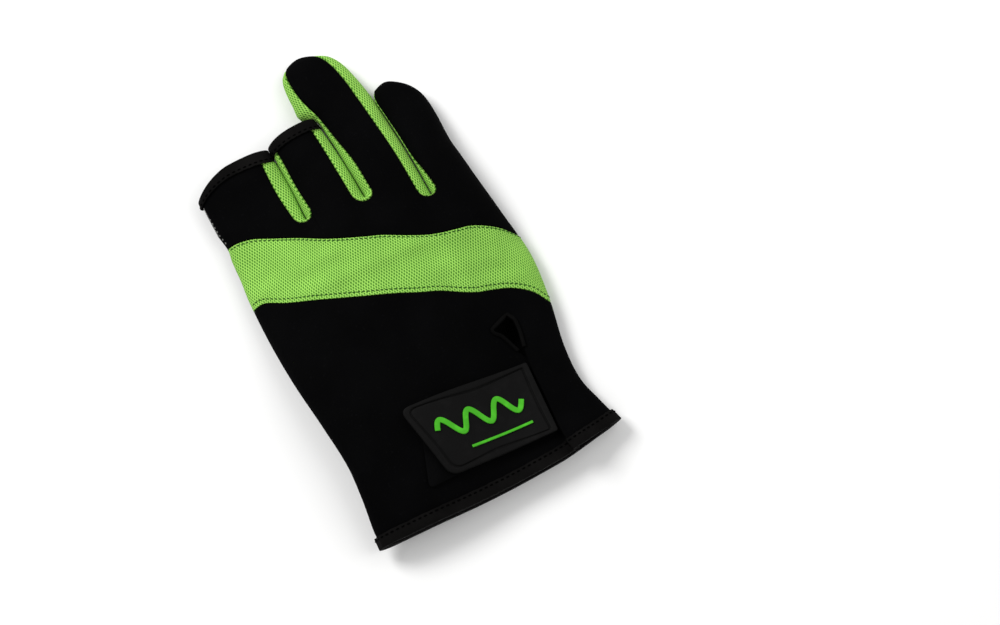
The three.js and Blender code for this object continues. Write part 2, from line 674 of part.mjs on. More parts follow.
// The thumb's section plane turns from level, at the hole in the palm, to upright, along the thumb
const thumbSections = [
  { turn: 0, lift: 1, reach: 0 },
  { turn: 0, lift: 0, reach: 0 },
  { turn: 0.25, lift: 0, reach: 0 },
  { turn: 0.5, lift: 0, reach: 0 },
  { turn: 0.75, lift: 0, reach: 0 },
  { turn: 1, lift: 0, reach: 0 },
  { turn: 1, lift: 0, reach: 0.25 },
  { turn: 1, lift: 0, reach: 0.5 },
  { turn: 1, lift: 0, reach: 0.75 },
  { turn: 1, lift: 0, reach: 1 },
];

// A point of the thumb. forward is its distance past the section's own place.
function thumbPoint(section, side, u, inset, gap = seam, forward = 0) {
  const angle = section.turn * Math.PI / 2;
  const level = thumbBend + thumbRootLength;
  const upright = thumbBend + thumbDepth;
  const across = level * upright / Math.hypot(upright * Math.cos(angle), level * Math.sin(angle)) - thumbBend;
  const room = tapeRoom * smoothstep(section.reach, ...thumbMouthFade);
  const half = lerp(thumbRootShare, 1, section.turn) * thumbWidth / 2 - room;
  const depth = across - room;
  const height = skinHeight(side, u, half, depth, inset, gap, 1);
  const radius = thumbBend + depth - height;
  const along = -radius * Math.cos(angle) + section.reach * thumbReach + forward;
  const sideways = skinSideways(u, half, inset);
  const top = section.lift * (thumbRise + palmCloth - thumbBend - thumbDepth);
  return new THREE.Vector3(
    thumbPivot.x + along * thumbDirection.x + sideways * thumbSide.x,
    thumbPivot.y + along * thumbDirection.y + sideways * thumbSide.y,
    thumbBend + thumbDepth - radius * Math.sin(angle) + top,
  );
}

const thumbAcross = [-1, -0.97, -0.87, -0.65, -0.25, 0.25, 0.65, 0.87, 0.97, 1];

function thumbHalf(side, wall) {
  const last = thumbSections.length - 1;
  return gridSheet(last, thumbAcross.length - 1, wall, (r, c, inset) => {
    const forward = r === last ? -tapeRoom : 0;
    return thumbPoint(thumbSections[r], side, thumbAcross[c], inset, seam, forward);
  });
}

// The palm, with the hole that the thumb is set in
function palm() {
  const rows = [0, 0.045, 0.1, 0.17, 0.25, 0.33, 0.42, 0.51, 0.6, 0.68, 0.76, 0.84, 0.92, 1];
  const panel = fingeredPanel('palm', palmCloth, rows, fingerStations, lowerHem, 0.72);
  const ring = ['back', 'palm'].flatMap((side) => {
    const points = thumbAcross.map((u) => thumbPoint(thumbSections[0], side, u, -seam, 0));
    return side === 'back' ? points.slice(0, -1) : points.reverse().slice(0, -1);
  });
  const hole = new THREE.ExtrudeGeometry(new THREE.Shape(ring.map((p) => new THREE.Vector2(p.x, p.y))),
    { depth: 2 * handDepth, bevelEnabled: false, steps: 1 });
  hole.translate(0, 0, thumbRise - 0.5 * handDepth);
  return manifoldGeometry(manifold(panel).subtract(manifold(hole)));
}

// A closed geometry as a solid that can be cut
function manifold(geometry) {
  const { points, corners } = mergedPoints(geometry);
  return new wasm.Manifold(new wasm.Mesh({
    numProp: 3, vertProperties: new Float32Array(points), triVerts: new Uint32Array(corners),
  }));
}

// The points and corners of a geometry with equal points made one
function mergedPoints(geometry) {
  const position = geometry.getAttribute('position');
  const index = geometry.index ? [...geometry.index.array] : range(position.count);
  const seen = new Map();
  const points = [];
  const corners = index.map((i) => {
    const at = [position.getX(i), position.getY(i), position.getZ(i)];
    const key = at.map((value) => value.toFixed(4)).join(' ');
    if (!seen.has(key)) {
      seen.set(key, seen.size);
      points.push(...at);
    }
    return seen.get(key);
  });
  return { points, corners };
}

function manifoldGeometry(solid) {
  const result = solid.getMesh();
  const geometry = new THREE.BufferGeometry();
  geometry.setAttribute('position', new THREE.Float32BufferAttribute(result.vertProperties, 3));
  geometry.setIndex([...result.triVerts]);
  return geometry;
}

// Places all the way round a shell's section: over the back, then under the palm
function sectionRing(across) {
  const over = across.slice(0, -1).map((u) => ({ side: 'back', u }));
  const below = [...across].reverse().slice(0, -1).map((u) => ({ side: 'palm', u }));
  return [...over, ...below];
}

const ringAcross = [-1, -0.983, -0.94, -0.85, -0.68, -0.4, 0, 0.4, 0.68, 0.85, 0.94, 0.983, 1];

function fingerBinding(finger) {
  const sections = sectionRing(ringAcross).map(({ side, u }) => tapeSection(neoprene).map(
    ([inset, back]) => fingerPoint(finger, side, u, 1 - back / finger.length, inset, 0)));
  return foldedTape(sections, true);
}

function thumbBinding() {
  const section = thumbSections.at(-1);
  const sections = sectionRing(ringAcross).map(({ side, u }) => tapeSection(neoprene, 1).map(
    ([inset, back]) => thumbPoint(section, side, u, inset, 0, -back)));
  return foldedTape(sections, true);
}

// The tape along the cuff: main hem, round the index edge, palm hem, round the pinky edge, flap hem
function cuffBinding() {
  const places = [];
  const mainEnd = slitPlace(0, 'main');
  const flapEnd = slitPlace(0, 'flap');
  for (const t of [1, 0.9, 0.78, 0.62, 0.46, 0.3, 0.16, 0.08, 0.03, 0.008]) {
    places.push({ u: lerp(-1, mainEnd, t), side: 'back', flap: false });
  }
  const below = [-1, -0.985, -0.94, -0.86, -0.7, -0.46, -0.22, 0.02, 0.26, 0.5, 0.72, 0.86, 0.94, 0.985];
  for (const u of below) places.push({ u, side: 'palm', flap: false });
  for (const t of [1, 0.97, 0.9, 0.74, 0.52, 0.3, 0.12, 0]) {
    places.push({ u: lerp(flapEnd, 1, t), side: 'back', flap: true });
  }
  const sections = places.map(({ u, side, flap }) => tapeSection(neoprene).map(([inset, back]) => {
    const y = crossLine.hem(u) * handLength + back;
    return flap ? flapPoint(u, y, inset, 0) : handPoint(side, u, y, inset, 0);
  }));
  return foldedTape(sections, false);
}

// The tape round the open upper end of the slit: up the main part's edge, round and down the flap's edge
function slitBinding() {
  const heights = [0.35, 0.375, 0.4, 0.425, slitCorner];
  const onEdge = (along, edge) => new THREE.Vector2(slitEdge[edge](along) * handWidth, along * handLength);
  const corner = onEdge(slitCorner, 'main');
  const apex = onEdge(slitApex, 'main');
  const stations = [
    ...heights.map((along) => ({ at: onEdge(along, 'main'), edge: 'main' })),
    ...[1 / 3, 2 / 3, 1].map((t) => ({ at: corner.clone().lerp(apex, t), edge: 'main' })),
    ...heights.toReversed().map((along) => ({ at: onEdge(along, 'flap'), edge: 'flap' })),
  ];
  const path = stations.map(({ at }) => at);
  const legWidth = 0.7 * tapeWidth;
  const sections = stations.map(({ edge }, i) => {
    const before = path[Math.max(0, i - 1)];
    const after = path[Math.min(path.length - 1, i + 1)];
    const inward = new THREE.Vector2(after.y - before.y, before.x - after.x).normalize();
    return tapeSection(neoprene).map(([inset, back]) => {
      const out = tapeRoom - Math.min(back, legWidth);
      const x = path[i].x + inward.x * out;
      const y = path[i].y + inward.y * out;
      const { centre, half } = handSpan(y);
      const point = handPoint('back', (x - centre) / half, y, inset, 0);
      if (edge === 'flap') point.z += flapRise(x, y);
      return new THREE.Vector3(x, y, point.z);
    });
  });
  return foldedTape(sections, false);
}

// Height of the back's outer skin at a place
function backHeight(x, y) {
  const { centre, half } = handSpan(y);
  return handPoint('back', (x - centre) / half, y, 0).z;
}

// Points round a four-sided outline with rounded corners
function roundedOutline(corners, radius, steps) {
  const ring = corners.map(({ x, y }) => new THREE.Vector2(x * handWidth, y * handLength));
  return ring.flatMap((corner, i) => {
    const before = ring[(i + 3) % 4].clone().sub(corner).normalize();
    const after = ring[(i + 1) % 4].clone().sub(corner).normalize();
    const start = corner.clone().addScaledVector(before, radius[i]);
    const end = corner.clone().addScaledVector(after, radius[i]);
    const bend = new THREE.QuadraticBezierCurve(start, corner, end).getPoints(steps);
    const next = ring[(i + 1) % 4];
    const farEnd = next.clone().addScaledVector(after, -radius[(i + 1) % 4]);
    return [...bend, ...[0.33, 0.67].map((t) => end.clone().lerp(farEnd, t))];
  });
}

// A plate that follows the back: rings from its middle to its outline. Each ring has its distance in from
// the outline and its height above the back.
function plateOnBack(rim, rings, low) {
  const middle = rim.reduce((sum, p) => sum.add(p), new THREE.Vector2()).divideScalar(rim.length);
  const sheet = new Sheet();
  const place = (p, height) => new THREE.Vector3(p.x, p.y, backHeight(p.x, p.y) + height);
  const centreId = sheet.node(place(middle, rings[0].height), place(middle, low));
  let inside = null;
  for (const { inward, share, height } of rings) {
    const row = rim.map((p) => {
      const reach = p.distanceTo(middle);
      const q = middle.clone().lerp(p, share ?? 1 - inward / reach);
      return sheet.node(place(q, height), place(q, low));
    });
    row.forEach((id, i) => {
      const next = (i + 1) % row.length;
      if (inside) sheet.cell(inside[i], row[i], row[next], inside[next]);
      else sheet.faces.push([centreId, id, row[next]]);
    });
    inside = row;
  }
  return sheet.geometry();
}

const patchLow = 2 * seam;
const tabLow = patchLow + patchThickness + 1.5 * seam;
const tabTop = tabLow + tabThickness;

function closureTab() {
  const rim = roundedOutline(tabCorners, [tabCorner, 1, 1, tabCorner], 3);
  return plateOnBack(rim, [
    { share: 0.25, height: tabTop - tabField },
    { share: 0.5, height: tabTop - tabField },
    { share: 0.72, height: tabTop - tabField },
    { inward: tabRim + tabGrooveHalf, height: tabTop - tabField },
    { inward: tabRim, height: tabTop - tabGroove },
    { inward: tabRim - tabGrooveHalf, height: tabTop },
    { inward: tabBevel, height: tabTop },
    { inward: 0, height: tabTop - tabBevel },
  ], tabLow);
}

function loopPatch() {
  const rim = roundedOutline(patchCorners, Array(4).fill(patchCorner), 2);
  const top = patchLow + patchThickness;
  return plateOnBack(rim, [{ share: 0.5, height: top }, { inward: 0, height: top }], patchLow);
}

// A raised ribbon on the tab along a line of places given as shares of the tab's two directions
function tabRibbon(line, stroke) {
  const [a, b, c, d] = tabCorners.map(({ x, y }) => new THREE.Vector2(x * handWidth, y * handLength));
  const place = (s, t) => a.clone().lerp(b, s).lerp(d.clone().lerp(c, s), t);
  const path = line.map(({ s, t }) => place(s, t));
  return gridSheet(path.length - 1, 1, 1, (r, k, inset) => {
    const before = path[Math.max(0, r - 1)];
    const after = path[Math.min(path.length - 1, r + 1)];
    const across = new THREE.Vector2(before.y - after.y, after.x - before.x).normalize();
    const p = path[r].clone().addScaledVector(across, (k - 0.5) * stroke);
    const height = tabTop - tabField + 1.5 * seam + (inset > 0 ? 0 : waveRelief);
    return new THREE.Vector3(p.x, p.y, backHeight(p.x, p.y) + height);
  });
}

// A plain wave, and a bar under it. Their places are shares of the tab's two directions.
const waveLine = { from: 0.14, to: 0.84, at: 0.57 };
const barLine = { from: 0.3, to: 0.84, at: 0.24 };

function tabWave() {
  const steps = waveTurns * 12;
  const swing = waveHeight / 2 / ((tabCorners[3].y - tabCorners[0].y) * handLength);
  return tabRibbon(range(steps + 1).map((i) => ({
    s: lerp(waveLine.from, waveLine.to, i / steps),
    t: waveLine.at + swing * Math.sin(i / steps * waveTurns * 2 * Math.PI),
  })), waveStroke);
}

function tabBar() {
  const steps = 12;
  const line = range(steps + 1).map((i) => ({ s: lerp(barLine.from, barLine.to, i / steps), t: barLine.at }));
  return tabRibbon(line, waveStroke / 2);
}

// The scene graph: one named mesh for each piece
const glove = new THREE.Group();
function add(name, geometry, material) {
  const piece = new THREE.Mesh(geometry, material);
  piece.name = name;
  glove.add(piece);
}

const [index, middle, ring, pinky] = fingers;
add('back_upper', backUpper(), materials.neoprene);
add('knuckle_band', knuckleBand(), materials.mesh);
add('back_lower', backLower(), materials.neoprene);
add('palm', palm(), materials.palm);
add('fourchette_index_middle', gusset(index, middle), materials.mesh);
add('fourchette_middle_ring', gusset(middle, ring), materials.mesh);
add('fourchette_ring_pinky', gusset(ring, pinky), materials.mesh);
add('thumb_back', thumbHalf('palm', neoprene), materials.neoprene);
add('thumb_palm', thumbHalf('back', palmCloth), materials.palm);
add('index_binding', fingerBinding(index), materials.tape);
add('middle_binding', fingerBinding(middle), materials.tape);
add('thumb_binding', thumbBinding(), materials.tape);
add('cuff_binding', cuffBinding(), materials.tape);
add('slit_binding', slitBinding(), materials.tape);
add('closure_tab', closureTab(), materials.rubber);
add('tab_wave', tabWave(), materials.relief);
add('tab_bar', tabBar(), materials.relief);
add('loop_patch', loopPatch(), materials.loop);

// The origin is the middle of the underside of the glove's box
glove.updateMatrixWorld(true);
const box = new THREE.Box3().setFromObject(glove, true);
glove.position.set(-(box.min.x + box.max.x) / 2, -(box.min.y + box.max.y) / 2, -box.min.z);

export default glove;
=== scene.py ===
"""The looks of a right-hand fishing glove that lies with its back up and its thumb folded under the palm.

Lengths are millimetres in the hand's own frame until a mesh is made: X runs from the index side to the
pinky side, Y from the cuff to the fingertips, Z up. Across a section, u is -1 at the index edge and 1 at
the pinky edge, and past 1 the back turns under that edge. An inset is a depth below the outer skin.
"""
import logging
import math
from dataclasses import dataclass
from enum import Enum
from functools import cached_property
from typing import Callable, Sequence

import bpy
import numpy as np
from mathutils import Matrix, Vector


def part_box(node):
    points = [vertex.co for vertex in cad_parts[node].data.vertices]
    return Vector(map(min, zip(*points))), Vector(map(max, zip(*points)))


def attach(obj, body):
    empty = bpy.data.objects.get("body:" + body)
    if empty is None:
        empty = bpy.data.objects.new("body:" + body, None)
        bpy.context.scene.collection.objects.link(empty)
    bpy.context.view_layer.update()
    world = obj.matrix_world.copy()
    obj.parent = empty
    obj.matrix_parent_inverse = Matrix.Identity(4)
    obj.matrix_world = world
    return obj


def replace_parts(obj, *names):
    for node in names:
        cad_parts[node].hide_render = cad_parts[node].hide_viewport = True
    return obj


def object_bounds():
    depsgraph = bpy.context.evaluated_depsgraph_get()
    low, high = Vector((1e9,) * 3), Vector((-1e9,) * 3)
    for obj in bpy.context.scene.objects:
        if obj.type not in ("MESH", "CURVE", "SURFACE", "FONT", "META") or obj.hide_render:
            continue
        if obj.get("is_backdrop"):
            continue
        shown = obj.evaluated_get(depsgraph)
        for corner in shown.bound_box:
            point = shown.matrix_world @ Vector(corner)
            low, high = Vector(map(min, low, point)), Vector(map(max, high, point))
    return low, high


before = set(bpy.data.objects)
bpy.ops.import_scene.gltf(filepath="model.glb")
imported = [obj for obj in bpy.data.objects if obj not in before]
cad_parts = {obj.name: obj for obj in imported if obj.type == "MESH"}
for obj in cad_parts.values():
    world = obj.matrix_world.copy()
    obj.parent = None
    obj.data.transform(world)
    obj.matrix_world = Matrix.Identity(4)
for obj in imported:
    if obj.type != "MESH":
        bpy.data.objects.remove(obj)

Array = np.ndarray
Socket = bpy.types.NodeSocket
Material = bpy.types.Material
Place = Callable[[Array], Array]
Rows = list[tuple[Array, Array]]

MM = 0.001
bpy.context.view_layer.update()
log = logging.getLogger("glove")


class Side(Enum):
    """The two faces of the lying glove."""

    BACK = "back"
    PALM = "palm"


def lerp(a: Array | float, b: Array | float, t: Array | float) -> Array:
    """Return the value at share t of the way from a to b."""
    return a + (b - a) * t


def smoothstep(x: Array | float, low: float, high: float) -> Array:
    """Return 0 below low and 1 above high, with a smooth rise 3t^2 - 2t^3 between them."""
    t = np.clip((x - low) / (high - low), 0.0, 1.0)
    return t * t * (3.0 - 2.0 * t)


def eased(count: int, crowd: float = 0.93) -> Array:
    """Return shares from 0 to 1 that crowd towards both ends: t less a share of sin(2 pi t) / (2 pi)."""
    t = np.linspace(0.0, 1.0, count)
    return t - crowd * np.sin(2.0 * np.pi * t) / (2.0 * np.pi)


def unit(vectors: Array) -> Array:
    """Return the vectors at length 1."""
    return vectors / np.maximum(np.linalg.norm(vectors, axis=-1, keepdims=True), 1e-9)


@dataclass(frozen=True)
class Table:
    """Rows of numbers with named columns."""

    names: str
    rows: tuple[tuple[float, ...], ...]

    def column(self, key: str, value: str) -> "Column":
        """Return the smooth curve of one column over another."""
        names = self.names.split()
        at = [row[names.index(key)] for row in self.rows]
        return Column(np.array(at), np.array([row[names.index(value)] for row in self.rows]))


class Column:
    """A smooth curve through one column of a table. Each slope is the mean of its two neighbours'."""

    def __init__(self, at: Array, level: Array) -> None:
        """Keep the column's places and levels, and work out its slopes.

        Args:
            at: the rows' places, rising.
            level: the rows' levels.
        """
        count = len(at)
        low = np.maximum(np.arange(count) - 1, 0)
        high = np.minimum(np.arange(count) + 1, count - 1)
        self.at = at
        self.level = level
        self.slope = (level[high] - level[low]) / (at[high] - at[low])

    def __call__(self, where: Array | float) -> Array:
        """Return the curve's level, by the cubic between the two rows on either side.

        Args:
            where: places, held to the first and last row.

        Returns:
            The levels there.
        """
        x = np.clip(where, self.at[0], self.at[-1])
        i = np.clip(np.searchsorted(self.at, x, side="right") - 1, 0, len(self.at) - 2)
        span = self.at[i + 1] - self.at[i]
        t = (x - self.at[i]) / span
        bend = self.level[i] * (1 + 2 * t) * (1 - t) ** 2 + self.level[i + 1] * t * t * (3 - 2 * t)
        return bend + span * (self.slope[i] * t * (1 - t) ** 2 - self.slope[i + 1] * t * t * (1 - t))


HAND_OUTLINE = Table("along left right depth", (
    (0.0, -0.532, 0.468, 0.88),
    (0.1, -0.52, 0.44, 0.88),
    (0.19, -0.501, 0.419, 0.9),
    (0.3, -0.486, 0.431, 0.92),
    (0.45, -0.493, 0.475, 0.97),
    (0.6, -0.5036, 0.501, 1.0),
    (0.75, -0.5036, 0.4875, 1.0),
    (0.9, -0.492, 0.472, 1.0),
    (0.975, -0.479, 0.468, 1.0),
    (1.04, -0.471, 0.465, 1.0),
    (1.08, -0.462, 0.463, 1.0),
    (1.14, -0.469, 0.463, 1.0),
))
CROSS_LINES = Table("across hem band_low band_high", (
    (-1.0, 0.04, 0.87, 1.079),
    (-0.9, 0.035, 0.864, 1.073),
    (-0.75, 0.029, 0.825, 1.054),
    (-0.5, 0.0206, 0.769, 0.9945),
    (-0.25, 0.012, 0.7185, 0.9265),
    (0.0, 0.0066, 0.6675, 0.8755),
    (0.12, 0.0046, 0.6405, 0.853),
    (0.25, 0.003, 0.6145, 0.8205),
    (0.4, 0.002, 0.578, 0.785),
    (0.5, 0.0018, 0.559, 0.7685),
    (0.6, 0.0043, 0.548, 0.7585),
    (0.75, 0.01, 0.526, 0.744),
    (0.9, 0.016, 0.484, 0.707),
    (1.0, 0.02, 0.438, 0.665),
    (1.2, 0.02, 0.405, 0.63),
))
SLIT = Table("along flap main", (
    (0.01, 0.25, 0.279),
    (0.07, 0.25, 0.284),
    (0.19, 0.266, 0.316),
    (0.28, 0.275, 0.325),
    (0.325, 0.284, 0.282),
    (0.36, 0.2955, 0.267),
    (0.41, 0.3107, 0.246),
    (0.442, 0.313, 0.226),
    (0.462, 0.3, 0.3),
))
FINGER_COLUMNS = "along left back_left back_right right"
ROOTS = (1.13, 1.043, 1.008, 0.905, 0.93)
WRAP_COLUMNS = 9
FOLDS = Table("from_x from_y to_x to_y width height", (
    (-51, 122, -18, 120, 3.0, 0.95),
    (-47, 131, -34, 130, 2.6, 0.5),
    (-31, 110, 12, 106, 3.4, 1.05),
    (-46, 113, -30, 101, 2.6, 0.4),
    (12, 93, 42, 85, 4.0, 0.9),
    (16, 105, 36, 101, 3.0, 0.75),
    (34, 78, 49, 74, 3.0, 0.5),
    (-42, 70, -6, 92, 7.0, 0.6),
    (-38, 50, 0, 68, 8.0, 0.6),
    (4, 56, 30, 80, 6.5, 0.5),
    (-47, 24, -36, 60, 5.0, 0.5),
    (-40, 146, -30, 164, 5.0, 0.45),
    (-6, 140, 0, 164, 4.5, 0.4),
    (14, 150, 20, 186, 5.0, 0.45),
    (34, 130, 44, 158, 4.5, 0.45),
))


@dataclass(frozen=True)
class Finger:
    """One finger of the glove: its length from its root line, its ends, and the table of its edges."""

    name: str
    length: float
    open_end: bool
    drop_left: float
    drop_right: float
    root_left: float
    root_right: float
    rows: Table
    width: float

    @cached_property
    def columns(self) -> dict[str, Column]:
        """Return the curves of the finger's four edges along it."""
        return {name: self.rows.column("along", name) for name in FINGER_COLUMNS.split()[1:]}

    def edge(self, name: str, v: Array | float) -> Array:
        """Return the sideways place of one of its edges at share v of its length."""
        return self.columns[name](v) * self.width

    @property
    def tip(self) -> float:
        """Return how far along the hand its end reaches in its middle."""
        return (self.root_left + self.root_right) / 2 + self.length

    def span(self, v: Array | float) -> tuple[Array, Array]:
        """Return its centre line and half width at share v of its length."""
        left = self.edge("left", v)
        right = self.edge("right", v)
        return (left + right) / 2, (right - left) / 2


@dataclass(frozen=True)
class GloveForm:
    """The glove's outer form, from which every cloth, tape and stitch takes its place."""

    hand_length: float = 136.0
    hand_width: float = 112.0
    hand_depth: float = 12.5
    finger_depth: float = 12.5
    neoprene: float = 2.2
    palm_cloth: float = 1.6
    mesh: float = 1.2
    seam: float = 0.3
    edge_roll: float = 11.0
    tip_roll: float = 9.0
    pinky_wrap: float = 6.0
    wrap_seam: float = 0.8
    crotch_drop: float = 6.0
    tape_width: float = 5.0
    tape: float = 0.6
    tape_gap: float = 0.5
    thumb_width: float = 35.0
    thumb_depth: float = 9.4
    thumb_reach: float = 65.0
    thumb_angle: float = 33.0
    thumb_root_length: float = 24.0
    thumb_bend: float = 1.0
    thumb_drape: float = 40.0
    thumb_place: tuple[float, float] = (-0.222, 0.478)
    thumb_root_share: float = 0.86
    roll_power: float = 2.3
    mid_share: float = 0.45
    flat_share: float = 1.08
    crown_fall: float = 0.14
    clear_of_palm: float = 1.5
    narrow_roll: float = 0.8
    tip_curve: float = 1.8
    hem_fade: tuple[float, float] = (1.6, 5.0)
    flap_hem_fade: tuple[float, float] = (1.4, 3.0)
    flap_stand: tuple[float, float] = (2.0, 17.0)
    flap_run: float = 0.1
    mouth_fade: tuple[float, float] = (0.3, 0.75)
    thumb_mouth_fade: tuple[float, float] = (0.5, 0.75)
    slit_apex: float = 0.462
    slit_corner: float = 0.442
    slot_nodes: int = 15
    calm_place: tuple[float, float] = (0.0, 28.0)
    calm_size: tuple[float, float] = (27.0, 22.0)
    calm_fade: float = 14.0

    @cached_property
    def fingers(self) -> tuple[Finger, ...]:
        """Return the index, middle, ring and pinky fingers."""
        roots = [share * self.hand_length for share in ROOTS]

        def finger(i: int, name: str, length: float, open_end: bool, drops: tuple[float, float],
                   rows: tuple[tuple[float, ...], ...]) -> Finger:
            """Return the finger between two of the root lines."""
            return Finger(name, length, open_end, *drops, roots[i], roots[i + 1],
                          Table(FINGER_COLUMNS, rows), self.hand_width)

        return (
            finger(0, "index", 28.6, True, (0.22, 0.042), (
                (0.0, -0.469, -0.469, -0.198, -0.1625),
                (0.35, -0.4675, -0.4675, -0.2035, -0.1536),
                (0.7, -0.465, -0.465, -0.198, -0.1525),
                (1.0, -0.461, -0.461, -0.19, -0.155),
            )),
            finger(1, "middle", 37.9, True, (0.04, 0.01), (
                (0.0, -0.1554, -0.1286, 0.0268, 0.0625),
                (0.35, -0.1464, -0.1304, 0.0286, 0.0634),
                (0.7, -0.1395, -0.125, 0.0304, 0.0595),
                (1.0, -0.134, -0.122, 0.03, 0.053),
            )),
            finger(2, "ring", 73.9, False, (0.028, 0.036), (
                (0.0, 0.0695, 0.1018, 0.2446, 0.2804),
                (0.22, 0.0705, 0.1, 0.248, 0.284),
                (0.42, 0.0715, 0.088, 0.2464, 0.2857),
                (0.62, 0.066, 0.077, 0.242, 0.2866),
                (0.636, 0.05, 0.0745, 0.241, 0.286),
                (0.668, 0.0145, 0.07, 0.2395, 0.284),
                (0.76, 0.0155, 0.0563, 0.2357, 0.275),
                (0.885, 0.0215, 0.049, 0.2205, 0.255),
                (0.96, 0.034, 0.0536, 0.196, 0.226),
                (1.0, 0.058, 0.071, 0.165, 0.184),
            )),
            finger(3, "pinky", 51.85, False, (0.03, 0.08), (
                (0.0, 0.2884, 0.3125, 0.468, 0.468),
                (0.15, 0.291, 0.306, 0.464, 0.464),
                (0.3, 0.2935, 0.2975, 0.461, 0.461),
                (0.6, 0.2955, 0.298, 0.4696, 0.4696),
                (0.8, 0.2945, 0.297, 0.466, 0.466),
                (0.93, 0.294, 0.297, 0.443, 0.443),
                (1.0, 0.306, 0.31, 0.411, 0.411),
            )),
        )

    @cached_property
    def curves(self) -> dict[str, Column]:
        """Return the curves of the hand's outline, cross lines and slit."""
        curves = {name: HAND_OUTLINE.column("along", name) for name in ("left", "right", "depth")}
        curves |= {name: CROSS_LINES.column("across", name) for name in ("hem", "band_low", "band_high")}
        return curves | {name: SLIT.column("along", name) for name in ("flap", "main")}

    @property
    def tape_room(self) -> float:
        """Return what a binding adds outside a wall."""
        return self.tape + self.tape_gap

    @cached_property
    def thumb_direction(self) -> Array:
        """Return the way that the folded thumb points, seen from above."""
        angle = math.radians(self.thumb_angle)
        return np.array([math.sin(angle), math.cos(angle)])

    @property
    def thumb_pivot(self) -> Array:
        """Return the middle of the thumb's bend, seen from above."""
        return np.array([self.thumb_place[0] * self.hand_width, self.thumb_place[1] * self.hand_length])

    @property
    def thumb_rise(self) -> float:
        """Return the height of the palm above the surface, over the thumb."""
        return self.thumb_depth + self.clear_of_palm

    def lift(self, x: Array, y: Array) -> Array:
        """Return how far the folded thumb lifts the glove: its rise, smoothly gone a drape away from it.

        Args:
            x: places across.
            y: places along.

        Returns:
            The lift at each place.
        """
        direction = self.thumb_direction
        heel = self.thumb_pivot - direction * (self.thumb_bend + self.thumb_root_length)
        length = self.thumb_bend + self.thumb_root_length + self.thumb_reach
        along = (x - heel[0]) * direction[0] + (y - heel[1]) * direction[1]
        along = np.clip(along, 0.0, length + self.tape_room + self.clear_of_palm)
        away = np.hypot(x - heel[0] - along * direction[0], y - heel[1] - along * direction[1])
        distance = away - self.thumb_width / 2 - self.tape_room
        return self.thumb_rise * (1.0 - smoothstep(distance, 0.0, self.thumb_drape))

    def folds(self, x: Array, y: Array) -> Array:
        """Work out the soft folds: a bell curve across each one's line, calmed round the tab.

        Args:
            x: places across.
            y: places along.

        Returns:
            The folds' height at each place.
        """
        height = 0.16 * np.sin(x / 13.0 + y / 21.0) * np.sin(y / 17.0 - x / 29.0)
        for from_x, from_y, to_x, to_y, width, rise in FOLDS.rows:
            run = np.array([to_x - from_x, to_y - from_y], float)
            length = float(np.hypot(*run))
            along = ((x - from_x) * run[0] + (y - from_y) * run[1]) / length
            side = ((x - from_x) * run[1] - (y - from_y) * run[0]) / length
            past = np.maximum(0.0, np.abs(along - length / 2) - length / 2)
            height = height + rise * np.exp(-(side / width) ** 2 - (past / (1.2 * width)) ** 2)
        away = np.hypot(np.maximum(np.abs(x - self.calm_place[0]) - self.calm_size[0], 0.0),
                        np.maximum(np.abs(y - self.calm_place[1]) - self.calm_size[1], 0.0))
        return height * smoothstep(away, 0.0, self.calm_fade)

    def roll(self, distance: Array, reach: Array | float) -> Array:
        """Return the share of its full height that a rolled edge has at a distance from the edge."""
        left = 1.0 - np.clip(distance / reach, 0.0, 1.0)
        return (1.0 - left ** self.roll_power) ** (1.0 / self.roll_power)

    def edge_place(self, u: Array, half: Array) -> tuple[Array, Array, Array, Array]:
        """Measure a place: its distance from the edge, the roll's reach, and how sideways the skin faces.

        Args:
            u: place across.
            half: half width of the section.

        Returns:
            The place held to the edges, and the three measures.
        """
        across = np.where(u > 1, 2 - u, u)
        distance = half * (1 - np.abs(across))
        reach = np.minimum(self.edge_roll, half * self.narrow_roll)
        return across, distance, reach, 1 - np.clip(distance / reach, 0.0, 1.0)

    def sideways(self, u: Array, half: Array, inset: Array | float) -> Array:
        """Return the sideways place of a point on a section, from its centre line."""
        across, _, _, lean = self.edge_place(u, half)
        return half * across - np.sign(across) * inset * lean

    def across_of(self, x: Array, half: Array, inset: Array | float) -> Array:
        """Return the u of a sideways place, by stepping towards it.

        Args:
            x: sideways place from the centre line.
            half: half width of the section.
            inset: depth below the skin.

        Returns:
            The place across.
        """
        u = np.clip(x / half, -1.0, 1.0)
        for _ in range(10):
            u = np.clip(u + (x - self.sideways(u, half, inset)) / half, -1.0, 1.0)
        return u

    def skin(self, palm: Array | bool, u: Array, half: Array, depth: Array | float,
             inset: Array | float, gap: float, close: Array | float) -> tuple[Array, Array]:
        """Work out the shell's section: a rolled edge, a crowned back and a flat underside.

        Args:
            palm: whether the point is on the palm's side.
            u: place across the section.
            half: half width of the section.
            depth: height of the section.
            inset: depth below the outer skin.
            gap: what the back and the palm keep between them at the edge.
            close: 0 at a closed fingertip and 1 away from it.

        Returns:
            The height above the section's base, and the share of the full height.
        """
        _, distance, reach, lean = self.edge_place(u, half)
        tall = depth - 2 * inset
        full = self.roll(distance - inset * (1 - lean), reach) * close
        split = np.where(palm, -gap / 2, gap / 2) * (1 - full)
        middle = inset + self.mid_share * tall + split
        under = middle - self.mid_share * tall * np.minimum(1.0, self.flat_share * full)
        over = middle + (1 - self.mid_share) * tall * full * (1 - self.crown_fall * u * u)
        return np.where(palm | (u > 1), under, over), full

    def hand_span(self, y: Array) -> tuple[Array, Array]:
        """Return the centre line and half width of the hand at a height along it."""
        left = self.curves["left"](y / self.hand_length) * self.hand_width
        right = self.curves["right"](y / self.hand_length) * self.hand_width
        return (left + right) / 2, (right - left) / 2

